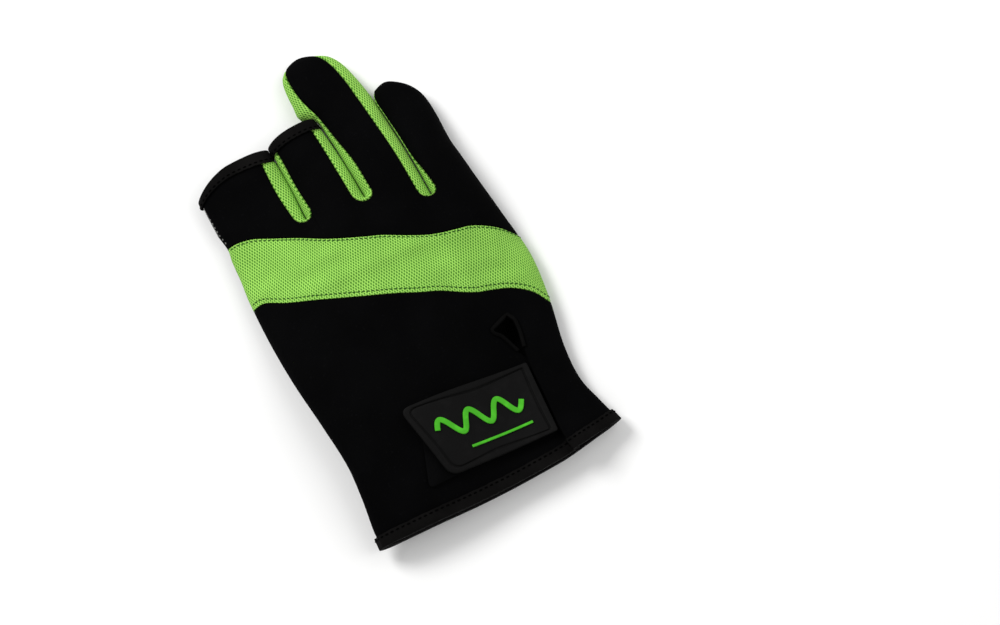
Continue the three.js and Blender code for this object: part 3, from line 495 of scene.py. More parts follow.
    def hand_point(self, palm: Array | bool, u: Array, y: Array, inset: Array | float,
                   gap: float | None = None) -> Array:
        """Return points of the hand part of the shell.

        Args:
            palm: whether on the palm's side.
            u: place across.
            y: place along.
            inset: depth below the skin.
            gap: gap left at the edge.

        Returns:
            The points: the section's height above the thumb's lift, the hem's room and the folds.
        """
        gap = self.seam if gap is None else gap
        centre, half = self.hand_span(y)
        x = centre + self.sideways(u, half, inset)
        depth = self.hand_depth * self.curves["depth"](y / self.hand_length)
        hem = self.tape_room * (1 - smoothstep(y / self.tape_width, *self.hem_fade))
        height, full = self.skin(palm, u, half, depth, inset, gap, 1.0)
        relief = np.where(palm | (u > 1), 0.0, self.folds(x, y) * full)
        return np.stack(np.broadcast_arrays(x, y, self.lift(x, y) + hem + height + relief), axis=-1)

    def finger_point(self, finger: Finger, palm: Array | bool, u: Array, v: Array,
                     inset: Array | float, gap: float | None = None) -> Array:
        """Return points of a finger of the shell.

        Args:
            finger: the finger.
            palm: whether on the palm's side.
            u: place across.
            v: share of its length.
            inset: depth below the skin.
            gap: gap left at the edge.

        Returns:
            The points, whose rows run from the slanted root line to the curved end.
        """
        gap = self.seam if gap is None else gap
        centre, half = finger.span(v)
        across = np.where(u > 1, 2 - u, u)
        x = centre + self.sideways(u, half, inset)
        root = lerp(finger.root_left, finger.root_right, (across + 1) / 2)
        drop = np.where(across < 0, finger.drop_left, finger.drop_right) * finger.length
        end = finger.tip - drop * np.abs(across) ** self.tip_curve - (0.0 if finger.open_end else inset)
        y = lerp(root, end, v)
        if finger.open_end:
            close = 1.0
            mouth = self.tape_room * smoothstep(v, *self.mouth_fade)
        else:
            close = self.roll((1 - v) * (finger.length - inset), self.tip_roll)
            mouth = 0.0
        height, full = self.skin(palm, u, half, self.finger_depth, inset, gap, close)
        relief = np.where(palm | (u > 1), 0.0, self.folds(x, y) * full)
        return np.stack(np.broadcast_arrays(x, y, self.lift(x, y) + mouth + height + relief), axis=-1)

    def round_slot(self, start: Array, end: Array, share: Array, drop: Array | float) -> Array:
        """Return points of the half round end of a slot between two points on its sides.

        Args:
            start: points on its left side.
            end: points on its right side.
            share: place on the half circle.
            drop: how much deeper than round it is.

        Returns:
            The points.
        """
        radius = (end[..., 0] - start[..., 0]) / 2
        angle = np.pi * share
        x = (start[..., 0] + end[..., 0]) / 2 - radius * np.cos(angle)
        y = lerp(start[..., 1], end[..., 1], share) - (radius + drop) * np.sin(angle)
        return np.stack([x, y, lerp(start[..., 2], end[..., 2], share)], axis=-1)

    def flap_rise(self, x: Array, y: Array) -> Array:
        """Return how far the flap stands off the main part of the back below it.

        Args:
            x: places across.
            y: places along.

        Returns:
            One wall and the hem's room, faded out inside the flap and at the slit's upper end.
        """
        edge = self.curves["flap"](y / self.hand_length) * self.hand_width
        hem = 2 * self.tape_room * (1 - smoothstep(y / self.tape_width, *self.flap_hem_fade))
        fade = 1 - smoothstep(x - edge, *self.flap_stand)
        run = smoothstep(self.slit_apex - y / self.hand_length, 0.0, self.flap_run)
        return (self.neoprene + self.seam + hem) * fade * run

    def flap_point(self, u: Array, y: Array, inset: Array | float, gap: float | None = None) -> Array:
        """Return points of the flap beside the slit."""
        point = self.hand_point(False, u, y, inset, gap)
        point[..., 2] += np.where(u <= 1, self.flap_rise(point[..., 0], point[..., 1]), 0.0)
        return point

    def back_height(self, x: Array, y: Array) -> Array:
        """Return the height of the back's outer skin at a place seen from above."""
        centre, half = self.hand_span(y)
        return self.hand_point(False, (x - centre) / half, y, 0.0)[..., 2]

    def thumb_point(self, turn: Array, raised: Array, reach: Array, palm: Array | bool, u: Array,
                    inset: Array | float, gap: float | None = None, forward: Array | float = 0.0) -> Array:
        """Return points of the folded thumb.

        Args:
            turn: 0 where its section lies level, in the palm's hole, and 1 where it stands upright.
            raised: 1 up in the hole and 0 down in the bend.
            reach: share of its length past the bend.
            palm: True on the outer half of the bend, which lies on the surface.
            u: place across the thumb.
            inset: depth below its outer skin.
            gap: what its halves keep between them at the edge.
            forward: distance past the section's own place.

        Returns:
            The points, on arcs of an ellipse about the bend's middle and then straight on.
        """
        gap = self.seam if gap is None else gap
        angle = turn * np.pi / 2
        level = self.thumb_bend + self.thumb_root_length
        upright = self.thumb_bend + self.thumb_depth
        across = level * upright / np.hypot(upright * np.cos(angle), level * np.sin(angle)) - self.thumb_bend
        room = self.tape_room * smoothstep(reach, *self.thumb_mouth_fade)
        half = lerp(self.thumb_root_share, 1.0, turn) * self.thumb_width / 2 - room
        depth = across - room
        height, _ = self.skin(palm, u, half, depth, inset, gap, 1.0)
        radius = self.thumb_bend + depth - height
        along = -radius * np.cos(angle) + reach * self.thumb_reach + forward
        sideways = self.sideways(u, half, inset)
        top = raised * (self.thumb_rise + self.palm_cloth - self.thumb_bend - self.thumb_depth)
        direction = self.thumb_direction
        x = self.thumb_pivot[0] + along * direction[0] + sideways * direction[1]
        y = self.thumb_pivot[1] + along * direction[1] - sideways * direction[0]
        z = self.thumb_bend + self.thumb_depth - radius * np.sin(angle) + top
        return np.stack(np.broadcast_arrays(x, y, z), axis=-1)

    @cached_property
    def origin(self) -> Array:
        """Return where the hand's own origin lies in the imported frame, from the back's packed box."""
        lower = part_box("back_lower")[0]
        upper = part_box("back_upper")[1]
        left = (self.curves["left"](np.linspace(0.03, 0.5, 400)) * self.hand_width).min()
        return np.array([lower.x / MM - left, upper.y / MM - self.fingers[2].tip, 0.0])


FORM = GloveForm()


@dataclass
class Surface:
    """Points, faces and cloth coordinates of a mesh, in millimetres in the hand's frame."""

    points: Array
    faces: Array
    cloth: Array | None = None

    def joined(self, other: "Surface") -> "Surface":
        """Return both surfaces as one."""
        shifted = np.where(other.faces < 0, -1, other.faces + len(self.points))
        cloth = None if self.cloth is None else np.concatenate([self.cloth, other.cloth])
        return Surface(np.concatenate([self.points, other.points]),
                       np.concatenate([self.faces, shifted]), cloth)

    def make(self, name: str, finish: "Finish", slot: str) -> bpy.types.Object:
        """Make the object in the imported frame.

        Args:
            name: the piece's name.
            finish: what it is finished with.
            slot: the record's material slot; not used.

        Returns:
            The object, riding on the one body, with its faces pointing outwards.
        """
        mesh = bpy.data.meshes.new(name)
        sizes = (self.faces >= 0).sum(axis=1)
        loops = self.faces[self.faces >= 0]
        mesh.vertices.add(len(self.points))
        mesh.vertices.foreach_set("co", ((self.points + FORM.origin) * MM).astype(np.float32).ravel())
        mesh.loops.add(len(loops))
        mesh.loops.foreach_set("vertex_index", loops.astype(np.int32))
        mesh.polygons.add(len(sizes))
        mesh.polygons.foreach_set("loop_start", (np.cumsum(sizes) - sizes).astype(np.int32))
        mesh.polygons.foreach_set("use_smooth", np.ones(len(sizes), bool))
        if self.cloth is not None:
            layer = mesh.uv_layers.new(name="cloth")
            layer.uv.foreach_set("vector", self.cloth[loops].astype(np.float32).ravel())
        mesh.update(calc_edges=True)
        mesh.validate()
        piece = bpy.data.objects.new(name, mesh)
        bpy.context.scene.collection.objects.link(piece)
        mesh.materials.append(finish.material())
        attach(piece, "root")
        log.info("%s: %d faces", name, len(sizes))
        return piece


def grid_faces(rows: int, columns: int, wrap_rows: bool = False, wrap_columns: bool = False) -> Array:
    """Return the four-cornered faces between the nodes of a grid.

    Args:
        rows: its rows.
        columns: its columns.
        wrap_rows: whether the last row meets the first.
        wrap_columns: whether the last column meets the first.

    Returns:
        Four node numbers for each face.
    """
    r = np.arange(rows if wrap_rows else rows - 1)[:, None]
    c = np.arange(columns if wrap_columns else columns - 1)[None, :]
    a = r * columns + c
    b = r * columns + (c + 1) % columns
    d = ((r + 1) % rows) * columns + c
    e = ((r + 1) % rows) * columns + (c + 1) % columns
    return np.stack([a, b, e, d], axis=-1).reshape(-1, 4)


def outward(points: Array, faces: Array) -> Array:
    """Return the faces of a closed surface, all turned round if they enclose a negative volume.

    Args:
        points: its nodes.
        faces: its faces, with -1 for a missing fourth corner.

    Returns:
        The faces.
    """
    corners = points[np.where(faces < 0, faces[:, :1], faces)]
    a, b, c, d = (corners[:, k] for k in range(4))
    volume = (a * np.cross(b, c)).sum() + (a * np.cross(c, d)).sum()
    if volume >= 0:
        return faces
    turned = faces[:, ::-1].copy()
    short = turned[:, 0] < 0
    turned[short] = np.roll(turned[short], -1, axis=1)
    return turned


class Cloth:
    """A sheet of cloth with a wall and rounded edges, gathered from patches that share their nodes."""

    def __init__(self, wall: float, edge: float = 0.45) -> None:
        """Start an empty sheet.

        Args:
            wall: the cloth's thickness.
            edge: radius of its rounded edges.
        """
        self.wall = wall
        self.edge = edge
        self.patches: list[tuple[Place, tuple[int, int]]] = []

    def patch(self, place: Place, shape: tuple[int, int]) -> None:
        """Add a patch. place turns a grid of insets of that shape into a grid of points."""
        self.patches.append((place, shape))

    def surface(self) -> Surface:
        """Close the sheet.

        An edge is rounded by a quarter circle: at a distance s from it, less than the edge's radius r, the
        outer skin lies r - sqrt(r^2 - (r - s)^2) lower, and the inner skin as much higher.

        Returns:
            The outer skin, the inner skin and the rims between them.
        """
        flat = [place(np.zeros(shape)) for place, shape in self.patches]
        nominal = np.concatenate([points.reshape(-1, 3) for points in flat])
        _, first, merged = np.unique(np.round(nominal / 0.004).astype(np.int64), axis=0,
                                     return_index=True, return_inverse=True)
        merged = merged.ravel()
        faces = []
        start = 0
        for _, (rows, columns) in self.patches:
            faces.append(merged[grid_faces(rows, columns) + start])
            start += rows * columns
        faces = np.concatenate(faces)
        count = len(first)
        rims = self.rims(faces)
        depth = self.rounding(nominal[first], np.unique(rims))[merged]
        outer = []
        inner = []
        start = 0
        for place, shape in self.patches:
            part = depth[start:start + shape[0] * shape[1]].reshape(shape)
            outer.append(place(part).reshape(-1, 3))
            inner.append(place(self.wall - part).reshape(-1, 3))
            start += shape[0] * shape[1]
        points = np.concatenate([np.concatenate(outer)[first], np.concatenate(inner)[first]])
        cloth = np.concatenate([self.cloth_of(part).reshape(-1, 2) for part in flat])[first]
        walls = np.stack([rims[:, 1], rims[:, 0], rims[:, 0] + count, rims[:, 1] + count], axis=-1)
        every = np.concatenate([faces, faces[:, ::-1] + count, walls])
        return Surface(points, outward(points, every), np.concatenate([cloth, cloth]))

    @staticmethod
    def rims(faces: Array) -> Array:
        """Return the sides that only one face has, in its direction round."""
        sides = np.concatenate([faces[:, [k, (k + 1) % 4]] for k in range(4)])
        sides = sides[sides[:, 0] != sides[:, 1]]
        _, where, counts = np.unique(np.sort(sides, axis=1), axis=0, return_index=True, return_counts=True)
        return sides[where[counts == 1]]

    def rounding(self, points: Array, rim: Array) -> Array:
        """Return how far the skin is sunk at each point, from its distance to the rim.

        Args:
            points: the outer skin's nodes.
            rim: the numbers of those on its edge.

        Returns:
            The depths, by the quarter circle's formula.
        """
        distance = np.full(len(points), np.inf)
        for part in np.array_split(np.arange(len(points)), max(1, len(points) // 2000)):
            apart = points[part, None, :] - points[None, rim, :]
            distance[part] = np.sqrt((apart ** 2).sum(axis=-1).min(axis=1))
        inside = self.edge - np.minimum(distance, self.edge)
        return self.edge - np.sqrt(self.edge ** 2 - inside ** 2)

    @staticmethod
    def cloth_of(points: Array) -> Array:
        """Return each node's place on the flat cloth: the length along its row, and its place along Y."""
        steps = np.linalg.norm(np.diff(points, axis=1), axis=-1)
        across = np.concatenate([np.zeros((len(points), 1)), np.cumsum(steps, axis=1)], axis=1)
        across += points[:, :1, 0]
        return np.stack([across, points[..., 1]], axis=-1)

    def flat_area(self) -> float:
        """Return the area of the cut in square metres, which is that of the outer skin."""
        area = 0.0
        for place, shape in self.patches:
            p = place(np.zeros(shape))
            one = np.cross(p[1:, 1:] - p[:-1, :-1], p[1:, :-1] - p[:-1, 1:])
            area += float(np.linalg.norm(one, axis=-1).sum() / 2)
        return area * MM * MM

    def make(self, name: str, finish: "Finish", slot: str, flat: tuple[float, float],
             rests_on: Sequence[str]) -> bpy.types.Object:
        """Args:
            name: the node's name; the piece's is the same with _cloth added.
            finish: what it is finished with.
            slot: the record's material slot.
            flat: width and length of the cut in millimetres.
            rests_on: the nodes that it lies on; not used.

        Returns:
            The piece.
        """
        piece = self.surface().make(name + "_cloth", finish, slot)
        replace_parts(piece, name)
        size = (flat[0] * MM, flat[1] * MM)
        area = min(self.flat_area(), size[0] * size[1])
        return piece


def rounded_loop(corners: Sequence[tuple[float, float]] | Array, radius: float | Sequence[float],
                 steps: int = 3, spaced: int = 0) -> Array:
    """Return a closed outline with its corners rounded by parabolas that start a radius before them.

    Args:
        corners: the outline's corners.
        radius: how far before a corner its bend starts.
        steps: pieces of each bend.
        spaced: points between two bends.

    Returns:
        The outline's points.
    """
    ring = np.array(corners, float)
    reach = np.broadcast_to(radius, len(ring))[:, None]
    before = unit(np.roll(ring, 1, axis=0) - ring)
    after = unit(np.roll(ring, -1, axis=0) - ring)
    t = np.linspace(0.0, 1.0, steps + 1)[None, :, None]
    start = (ring + before * reach)[:, None]
    end = (ring + after * reach)[:, None]
    bend = (1 - t) ** 2 * start + 2 * t * (1 - t) * ring[:, None] + t ** 2 * end
    side = lerp(end, np.roll(start, -1, axis=0), np.linspace(0.0, 1.0, spaced + 2)[None, 1:-1, None])
    return np.concatenate([bend, side], axis=1).reshape(-1, 2)


def swept(points: Array, closed: bool) -> Surface:
    """Return the solid through a row of sections, each a closed loop, with fans over open ends.

    Args:
        points: the sections.
        closed: whether the last section meets the first.

    Returns:
        The solid, with the lengths along and round it as its place on the cloth.
    """
    count, size = points.shape[:2]
    faces = grid_faces(count, size, wrap_rows=closed, wrap_columns=True)
    flat = points.reshape(-1, 3)
    if not closed:
        loop = np.arange(size)
        last = (count - 1) * size
        middles = np.stack([points[0].mean(axis=0), points[-1].mean(axis=0)])
        none = np.full(size, -1)
        head = np.stack([loop, np.full(size, len(flat)), (loop + 1) % size, none], axis=-1)
        tail = np.stack([(loop + 1) % size + last, np.full(size, len(flat) + 1), loop + last, none], axis=-1)
        flat = np.concatenate([flat, middles])
        faces = np.concatenate([faces, head, tail])
    steps = np.linalg.norm(np.diff(points[:, 0], axis=0), axis=-1)
    along = np.concatenate([[0.0], np.cumsum(steps)])
    around = np.concatenate([[0.0], np.cumsum(np.linalg.norm(np.diff(points[0], axis=0), axis=-1))])
    cloth = np.stack(np.meshgrid(along, around, indexing="ij"), axis=-1).reshape(-1, 2)
    if not closed:
        cloth = np.concatenate([cloth, cloth[[0, -1]]])
    return Surface(flat, outward(flat, faces), cloth)


def scattered(base: Surface, centres: Array, forward: Array, up: Array) -> Surface:
    """Return copies of a small base form, one at each centre, turned to that centre's two directions.

    Args:
        base: the small form.
        centres: the copies' places.
        forward: where their X points.
        up: roughly where their Z points.

    Returns:
        The copies.
    """
    forward = unit(forward)
    side = unit(np.cross(up, forward))
    up = np.cross(forward, side)
    p = base.points
    points = (centres[:, None] + p[None, :, :1] * forward[:, None] + p[None, :, 1:2] * side[:, None]
              + p[None, :, 2:] * up[:, None])
    shift = (np.arange(len(centres)) * len(p))[:, None, None]
    faces = np.where(base.faces[None] < 0, -1, base.faces[None] + shift)
    return Surface(points.reshape(-1, 3), faces.reshape(-1, 4))


def stitch_form(length: float, radius: float) -> Surface:
    """Return one stitch: a closed capsule that is arched along X, thickest in its middle.

    Args:
        length: its length.
        radius: its greatest radius.

    Returns:
        The capsule: circles of radius r sqrt(1 - t^4) on a parabola, t from -1 to 1 along it.
    """
    t = np.linspace(-1.0, 1.0, 7)[:, None]
    angle = np.arange(6)[None] * np.pi / 3
    thick = radius * np.sqrt(np.maximum(0.0, 1 - t ** 4)) + 0.02
    x = t * length / 2 + 0 * angle
    y = thick * np.cos(angle)
    z = thick * np.sin(angle) + 0.35 * radius * (1 - t * t)
    points = np.stack([x, y, z], axis=-1)
    return swept(points, closed=False)


def dot_form(radius: float, height: float) -> Surface:
    """Return one grip dot: a low dome of eight sides, sunk a little, on a closed base.

    Args:
        radius: at its foot.
        height: of its top.

    Returns:
        The dome.
    """
    rings = np.array([(radius, -0.15), (radius * 0.92, 0.45 * height), (radius * 0.55, 0.9 * height)])
    angle = np.arange(8) * np.pi / 4
    points = np.stack([rings[:, :1] * np.cos(angle), rings[:, :1] * np.sin(angle),
                       rings[:, 1:] + 0 * angle], axis=-1)
    return swept(points, closed=False)


class Shader:
    """A material's node tree, with short calls that add nodes to it."""

    def __init__(self, name: str) -> None:
        """Start a material whose surface is one principled shader."""
        self.material = bpy.data.materials.new(name)
        self.material.use_nodes = True
        self.nodes = self.material.node_tree.nodes
        self.links = self.material.node_tree.links
        self.surface = self.nodes["Principled BSDF"]

    def feed(self, socket: Socket, value: object) -> None:
        """Link a socket to another, or set its own value."""
        if isinstance(value, Socket):
            self.links.new(value, socket)
        else:
            socket.default_value = value

    def node(self, kind: str, settings: dict[str, object] | None = None, **inputs: object) -> bpy.types.Node:
        """Add a node, with its settings and the inputs named with underscores for spaces.

        Args:
            kind: the node's type.
            settings: its own settings.
            inputs: its inputs.

        Returns:
            The node.
        """
        node = self.nodes.new(kind)
        for name, value in (settings or {}).items():
            setattr(node, name, value)
        for name, value in inputs.items():
            self.feed(node.inputs[name.replace("_", " ")], value)
        return node

    def math(self, operation: str, a: object, b: object = 0.0) -> Socket:
        """Return a sum, product or other result of two numbers."""
        node = self.node("ShaderNodeMath", {"operation": operation})
        self.feed(node.inputs[0], a)
        self.feed(node.inputs[1], b)
        return node.outputs[0]

    def vector(self, operation: str, *values: object) -> bpy.types.Node:
        """Return the node of a result of vectors."""
        node = self.node("ShaderNodeVectorMath", {"operation": operation})
        for socket, value in zip(node.inputs, values):
            self.feed(socket, value)
        return node

    def place(self) -> Socket:
        """Return the place on the object, in metres."""
        return self.node("ShaderNodeTexCoord").outputs["Object"]

    def cloth(self) -> Socket:
        """Return the place on the flat cloth, in millimetres."""
        return self.node("ShaderNodeUVMap", {"uv_map": "cloth"}).outputs["UV"]

    def noise(self, scale: float, detail: float = 2.0) -> Socket:
        """Return soft noise from 0 to 1."""
        node = self.node("ShaderNodeTexNoise", Vector=self.place(), Scale=scale, Detail=detail)
        return node.outputs["Fac"]

    def cells(self, scale: float) -> Socket:
        """Return the distance to the nearest of many scattered points."""
        return self.node("ShaderNodeTexVoronoi", Vector=self.place(), Scale=scale).outputs["Distance"]

    def range(self, value: object, low: float, high: float, to_low: float, to_high: float) -> Socket:
        """Return the value moved smoothly from one range to another.

        Args:
            value: the value.
            low: start of its range.
            high: end of its range.
            to_low: what the start becomes.
            to_high: what the end becomes.

        Returns:
            The moved value.
        """
        node = self.node("ShaderNodeMapRange", {"interpolation_type": "SMOOTHSTEP"}, Value=value)
        for name, number in zip(("From Min", "From Max", "To Min", "To Max"), (low, high, to_low, to_high)):
            node.inputs[name].default_value = number
        return node.outputs["Result"]

    def mix(self, share: object, one: Sequence[float], other: Sequence[float]) -> Socket:
        """Return a colour between two colours."""
        node = self.node("ShaderNodeMix", {"data_type": "RGBA"})
        self.feed(node.inputs[0], share)
        self.feed(node.inputs[6], (*one, 1.0) if not isinstance(one, Socket) else one)
        self.feed(node.inputs[7], (*other, 1.0) if not isinstance(other, Socket) else other)
        return node.outputs[2]

    def bump(self, height: object, distance: float, strength: float, under: object = None) -> Socket:
        """Return a surface direction bent by a height in millimetres."""
        node = self.node("ShaderNodeBump", Height=height, Distance=distance * MM, Strength=strength)
        if under is not None:
            self.feed(node.inputs["Normal"], under)
        return node.outputs["Normal"]

    def finish(self, **inputs: object) -> Material:
        """Feed the surface's own inputs and return the material."""
        for name, value in inputs.items():
            self.feed(self.surface.inputs[name.replace("_", " ")], value)
        return self.material


@dataclass(frozen=True)
class Finish:
    """A surface finish. Its material is made once."""

    name: str
    colour: tuple[float, float, float]
    roughness: float

    def material(self) -> Material:
        """Return the finish's material."""
        return bpy.data.materials.get(self.name) or self.dress(Shader(self.name))

    def dress(self, shader: Shader) -> Material:
        """Fill the shader in. Each kind of finish has its own way.

        Args:
            shader: the shader of the new material.

        Returns:
            The material.
        """
        raise NotImplementedError


@dataclass(frozen=True)
class Neoprene(Finish):
    """Smooth matt foam rubber with a fine jersey face."""

    knit: float = 1500.0
    gloss: float = 0.018

    def dress(self, shader: Shader) -> Material:
        """Colour drifts softly, and the jersey is small cells under a faint unevenness."""
        drift = shader.range(shader.noise(55.0, 3.0), 0.3, 0.7, 0.0, 1.0)
        lint = shader.range(shader.noise(900.0, 1.0), 0.62, 0.8, 0.0, 0.35)
        base = shader.mix(drift, self.colour, [c * 1.5 for c in self.colour])
        jersey = shader.bump(shader.cells(self.knit), 0.12, 0.5)
        soft = shader.bump(shader.noise(170.0, 2.0), 0.25, 0.35, jersey)
        return shader.finish(
            Base_Color=shader.mix(lint, base, [c * 4.0 for c in self.colour]), Roughness=self.roughness,
            Specular_IOR_Level=self.gloss, Normal=soft)


@dataclass(frozen=True)
class HoneycombMesh(Finish):
    """Knitted mesh with small holes on a lattice of hexagons."""

    pitch: float = 1.3
    hole: tuple[float, float, float] = (0.045, 0.20, 0.012)

    def dress(self, shader: Shader) -> Material:
        """Hexagon centres are two rectangular lattices; the nearer one's distance makes the hole."""
        half = (0.5, math.sqrt(3) / 2, 1.0)
        place = shader.vector("SCALE", shader.cloth())
        place.inputs["Scale"].default_value = 1.0 / self.pitch
        spot = place.outputs["Vector"]
        near = []
        for shift in ((0.0, 0.0, 0.0), half):
            moved = shader.vector("ADD", spot, shift).outputs["Vector"]
            cell = shader.vector("WRAP", moved, half, tuple(-n for n in half)).outputs["Vector"]
            flat = shader.vector("MULTIPLY", cell, (1.0, 0.66, 0.0)).outputs["Vector"]
            near.append(shader.vector("LENGTH", flat).outputs["Value"])
        nearest = shader.math("MINIMUM", *near)
        solid = shader.range(nearest, 0.1, 0.38, 0.0, 1.0)
        drift = shader.range(shader.noise(70.0, 2.0), 0.3, 0.7, 0.0, 1.0)
        thread = shader.mix(drift, self.colour, [min(1.0, c * 1.16) for c in self.colour])
        yarn = shader.bump(shader.noise(2600.0, 2.0), 0.08, 0.5)
        return shader.finish(
            Base_Color=shader.mix(solid, self.hole, thread), Roughness=self.roughness,
            Specular_IOR_Level=0.15, Normal=shader.bump(solid, 0.4, 0.8, yarn))


@dataclass(frozen=True)
class Knit(Finish):
    """Plain close knit: small loops in rows."""

    rows: float = 0.9
    gloss: float = 0.025

    def dress(self, shader: Shader) -> Material:
        """Loops are the product of two waves over the flat cloth, with a little unevenness."""
        where = shader.cloth()
        parts = shader.node("ShaderNodeSeparateXYZ", Vector=where)
        wave = [shader.math("SINE", shader.math("MULTIPLY", parts.outputs[k], 2 * math.pi / (self.rows * f)))
                for k, f in ((0, 1.0), (1, 0.8))]
        loops = shader.math("MULTIPLY", *wave)
        drift = shader.range(shader.noise(80.0, 3.0), 0.3, 0.7, 0.0, 1.0)
        base = shader.mix(drift, self.colour, [c * 1.7 for c in self.colour])
        rough = shader.bump(shader.noise(1800.0, 2.0), 0.1, 0.5)
        return shader.finish(Base_Color=base, Roughness=self.roughness, Specular_IOR_Level=self.gloss,
                             Normal=shader.bump(loops, 0.12, 0.6, rough))


@dataclass(frozen=True)
class Rubber(Finish):
    """Moulded rubber with a fine matt grain."""

    grain: float = 1700.0

    def dress(self, shader: Shader) -> Material:
        """Grain is fine noise, and slightly worn places are lighter."""
        worn = shader.range(shader.noise(240.0, 4.0), 0.45, 0.75, 0.0, 1.0)
        base = shader.mix(worn, self.colour, [min(1.0, c * 1.35) for c in self.colour])
        fine = shader.bump(shader.noise(self.grain, 3.0), 0.06, 0.5)
        return shader.finish(Base_Color=base, Roughness=self.roughness, Specular_IOR_Level=0.05,
                             Normal=shader.bump(shader.noise(420.0, 2.0), 0.05, 0.4, fine))


@dataclass(frozen=True)
class Thread(Finish):
    """Sewing thread, or a small bead of silicone where it has hardly any twist."""

    twist: float = 0.5
    gloss: float = 0.15

    def dress(self, shader: Shader) -> Material:
        """Thread is twisted, so fine noise breaks its gloss up."""
        drift = shader.noise(500.0, 2.0)
        base = shader.mix(drift, [c * 0.75 for c in self.colour], [min(1.0, c * 1.25) for c in self.colour])
        return shader.finish(Base_Color=base, Roughness=self.roughness, Specular_IOR_Level=self.gloss,
                             Normal=shader.bump(shader.noise(5200.0, 1.0), 0.05, self.twist))


class Finishes:
    """The glove's finishes."""

    NEOPRENE = Neoprene("neoprene", (0.0009, 0.0009, 0.001), 0.82)
    MESH = HoneycombMesh("green_mesh", (0.285, 0.575, 0.093), 0.75)
    PALM = Knit("palm_knit", (0.0016, 0.0016, 0.0017), 0.8, rows=1.0)
    TAPE = Knit("ribbed_tape", (0.0031, 0.0029, 0.0028), 0.75, rows=0.55)
    # The slit's tape is the same binding tape as the others, coloured darker: painted shade for the slit's
    # recess under the flap.
    SLIT_TAPE_PAINTED_SHADE = Knit("slit_tape_painted_shade", (0.0018, 0.0017, 0.0017), 0.75, rows=0.55)
    RUBBER = Rubber("grained_rubber", (0.0034, 0.0033, 0.0033), 0.6)
    RELIEF = Rubber("tab_green", (0.055, 0.36, 0.018), 0.45, grain=900.0)
    LOOPS = Knit("loop_cloth", (0.0014, 0.0014, 0.0015), 0.95, rows=0.45)
    GREEN_THREAD = Thread("green_thread", (0.018, 0.075, 0.006), 0.6)
    DARK_THREAD = Thread("black_thread", (0.0005, 0.0005, 0.0005), 0.7, gloss=0.01)
    SILICONE = Thread("silicone", (0.13, 0.13, 0.122), 0.38, twist=0.05)


@dataclass(frozen=True)
class Stitching:
    """A row of stitches."""

    pitch: float = 2.5
    length: float = 1.6
    radius: float = 0.3
    sunk: float = 0.05
    ahead: float = 0.3

    def along(self, path: Array, normals: Array, closed: bool = False) -> Surface:
        """Return stitches at even steps of a path's length, each turned along the path.

        Args:
            path: the seam's points.
            normals: the skin's direction at each.
            closed: whether the seam meets itself.

        Returns:
            The stitches.
        """
        if closed:
            path = np.concatenate([path, path[:1]])
            normals = np.concatenate([normals, normals[:1]])
        run = np.concatenate([[0.0], np.cumsum(np.linalg.norm(np.diff(path, axis=0), axis=-1))])
        count = max(1, int(run[-1] / self.pitch))
        at = (np.arange(count) + 0.5) * run[-1] / count
        place = [np.stack([np.interp(at + d, run, path[:, k]) for k in range(3)], axis=-1)
                 for d in (-self.ahead, 0.0, self.ahead)]
        up = unit(np.stack([np.interp(at, run, normals[:, k]) for k in range(3)], axis=-1))
        return scattered(stitch_form(self.length, self.radius), place[1] - up * self.sunk,
                         place[2] - place[0], up)

    def on(self, place: Callable[[float], Array], closed: bool = False) -> Surface:
        """Return stitches on a skin. place turns an inset into the path at that depth."""
        top = place(0.0)
        return self.along(top, unit(top - place(0.5)), closed)


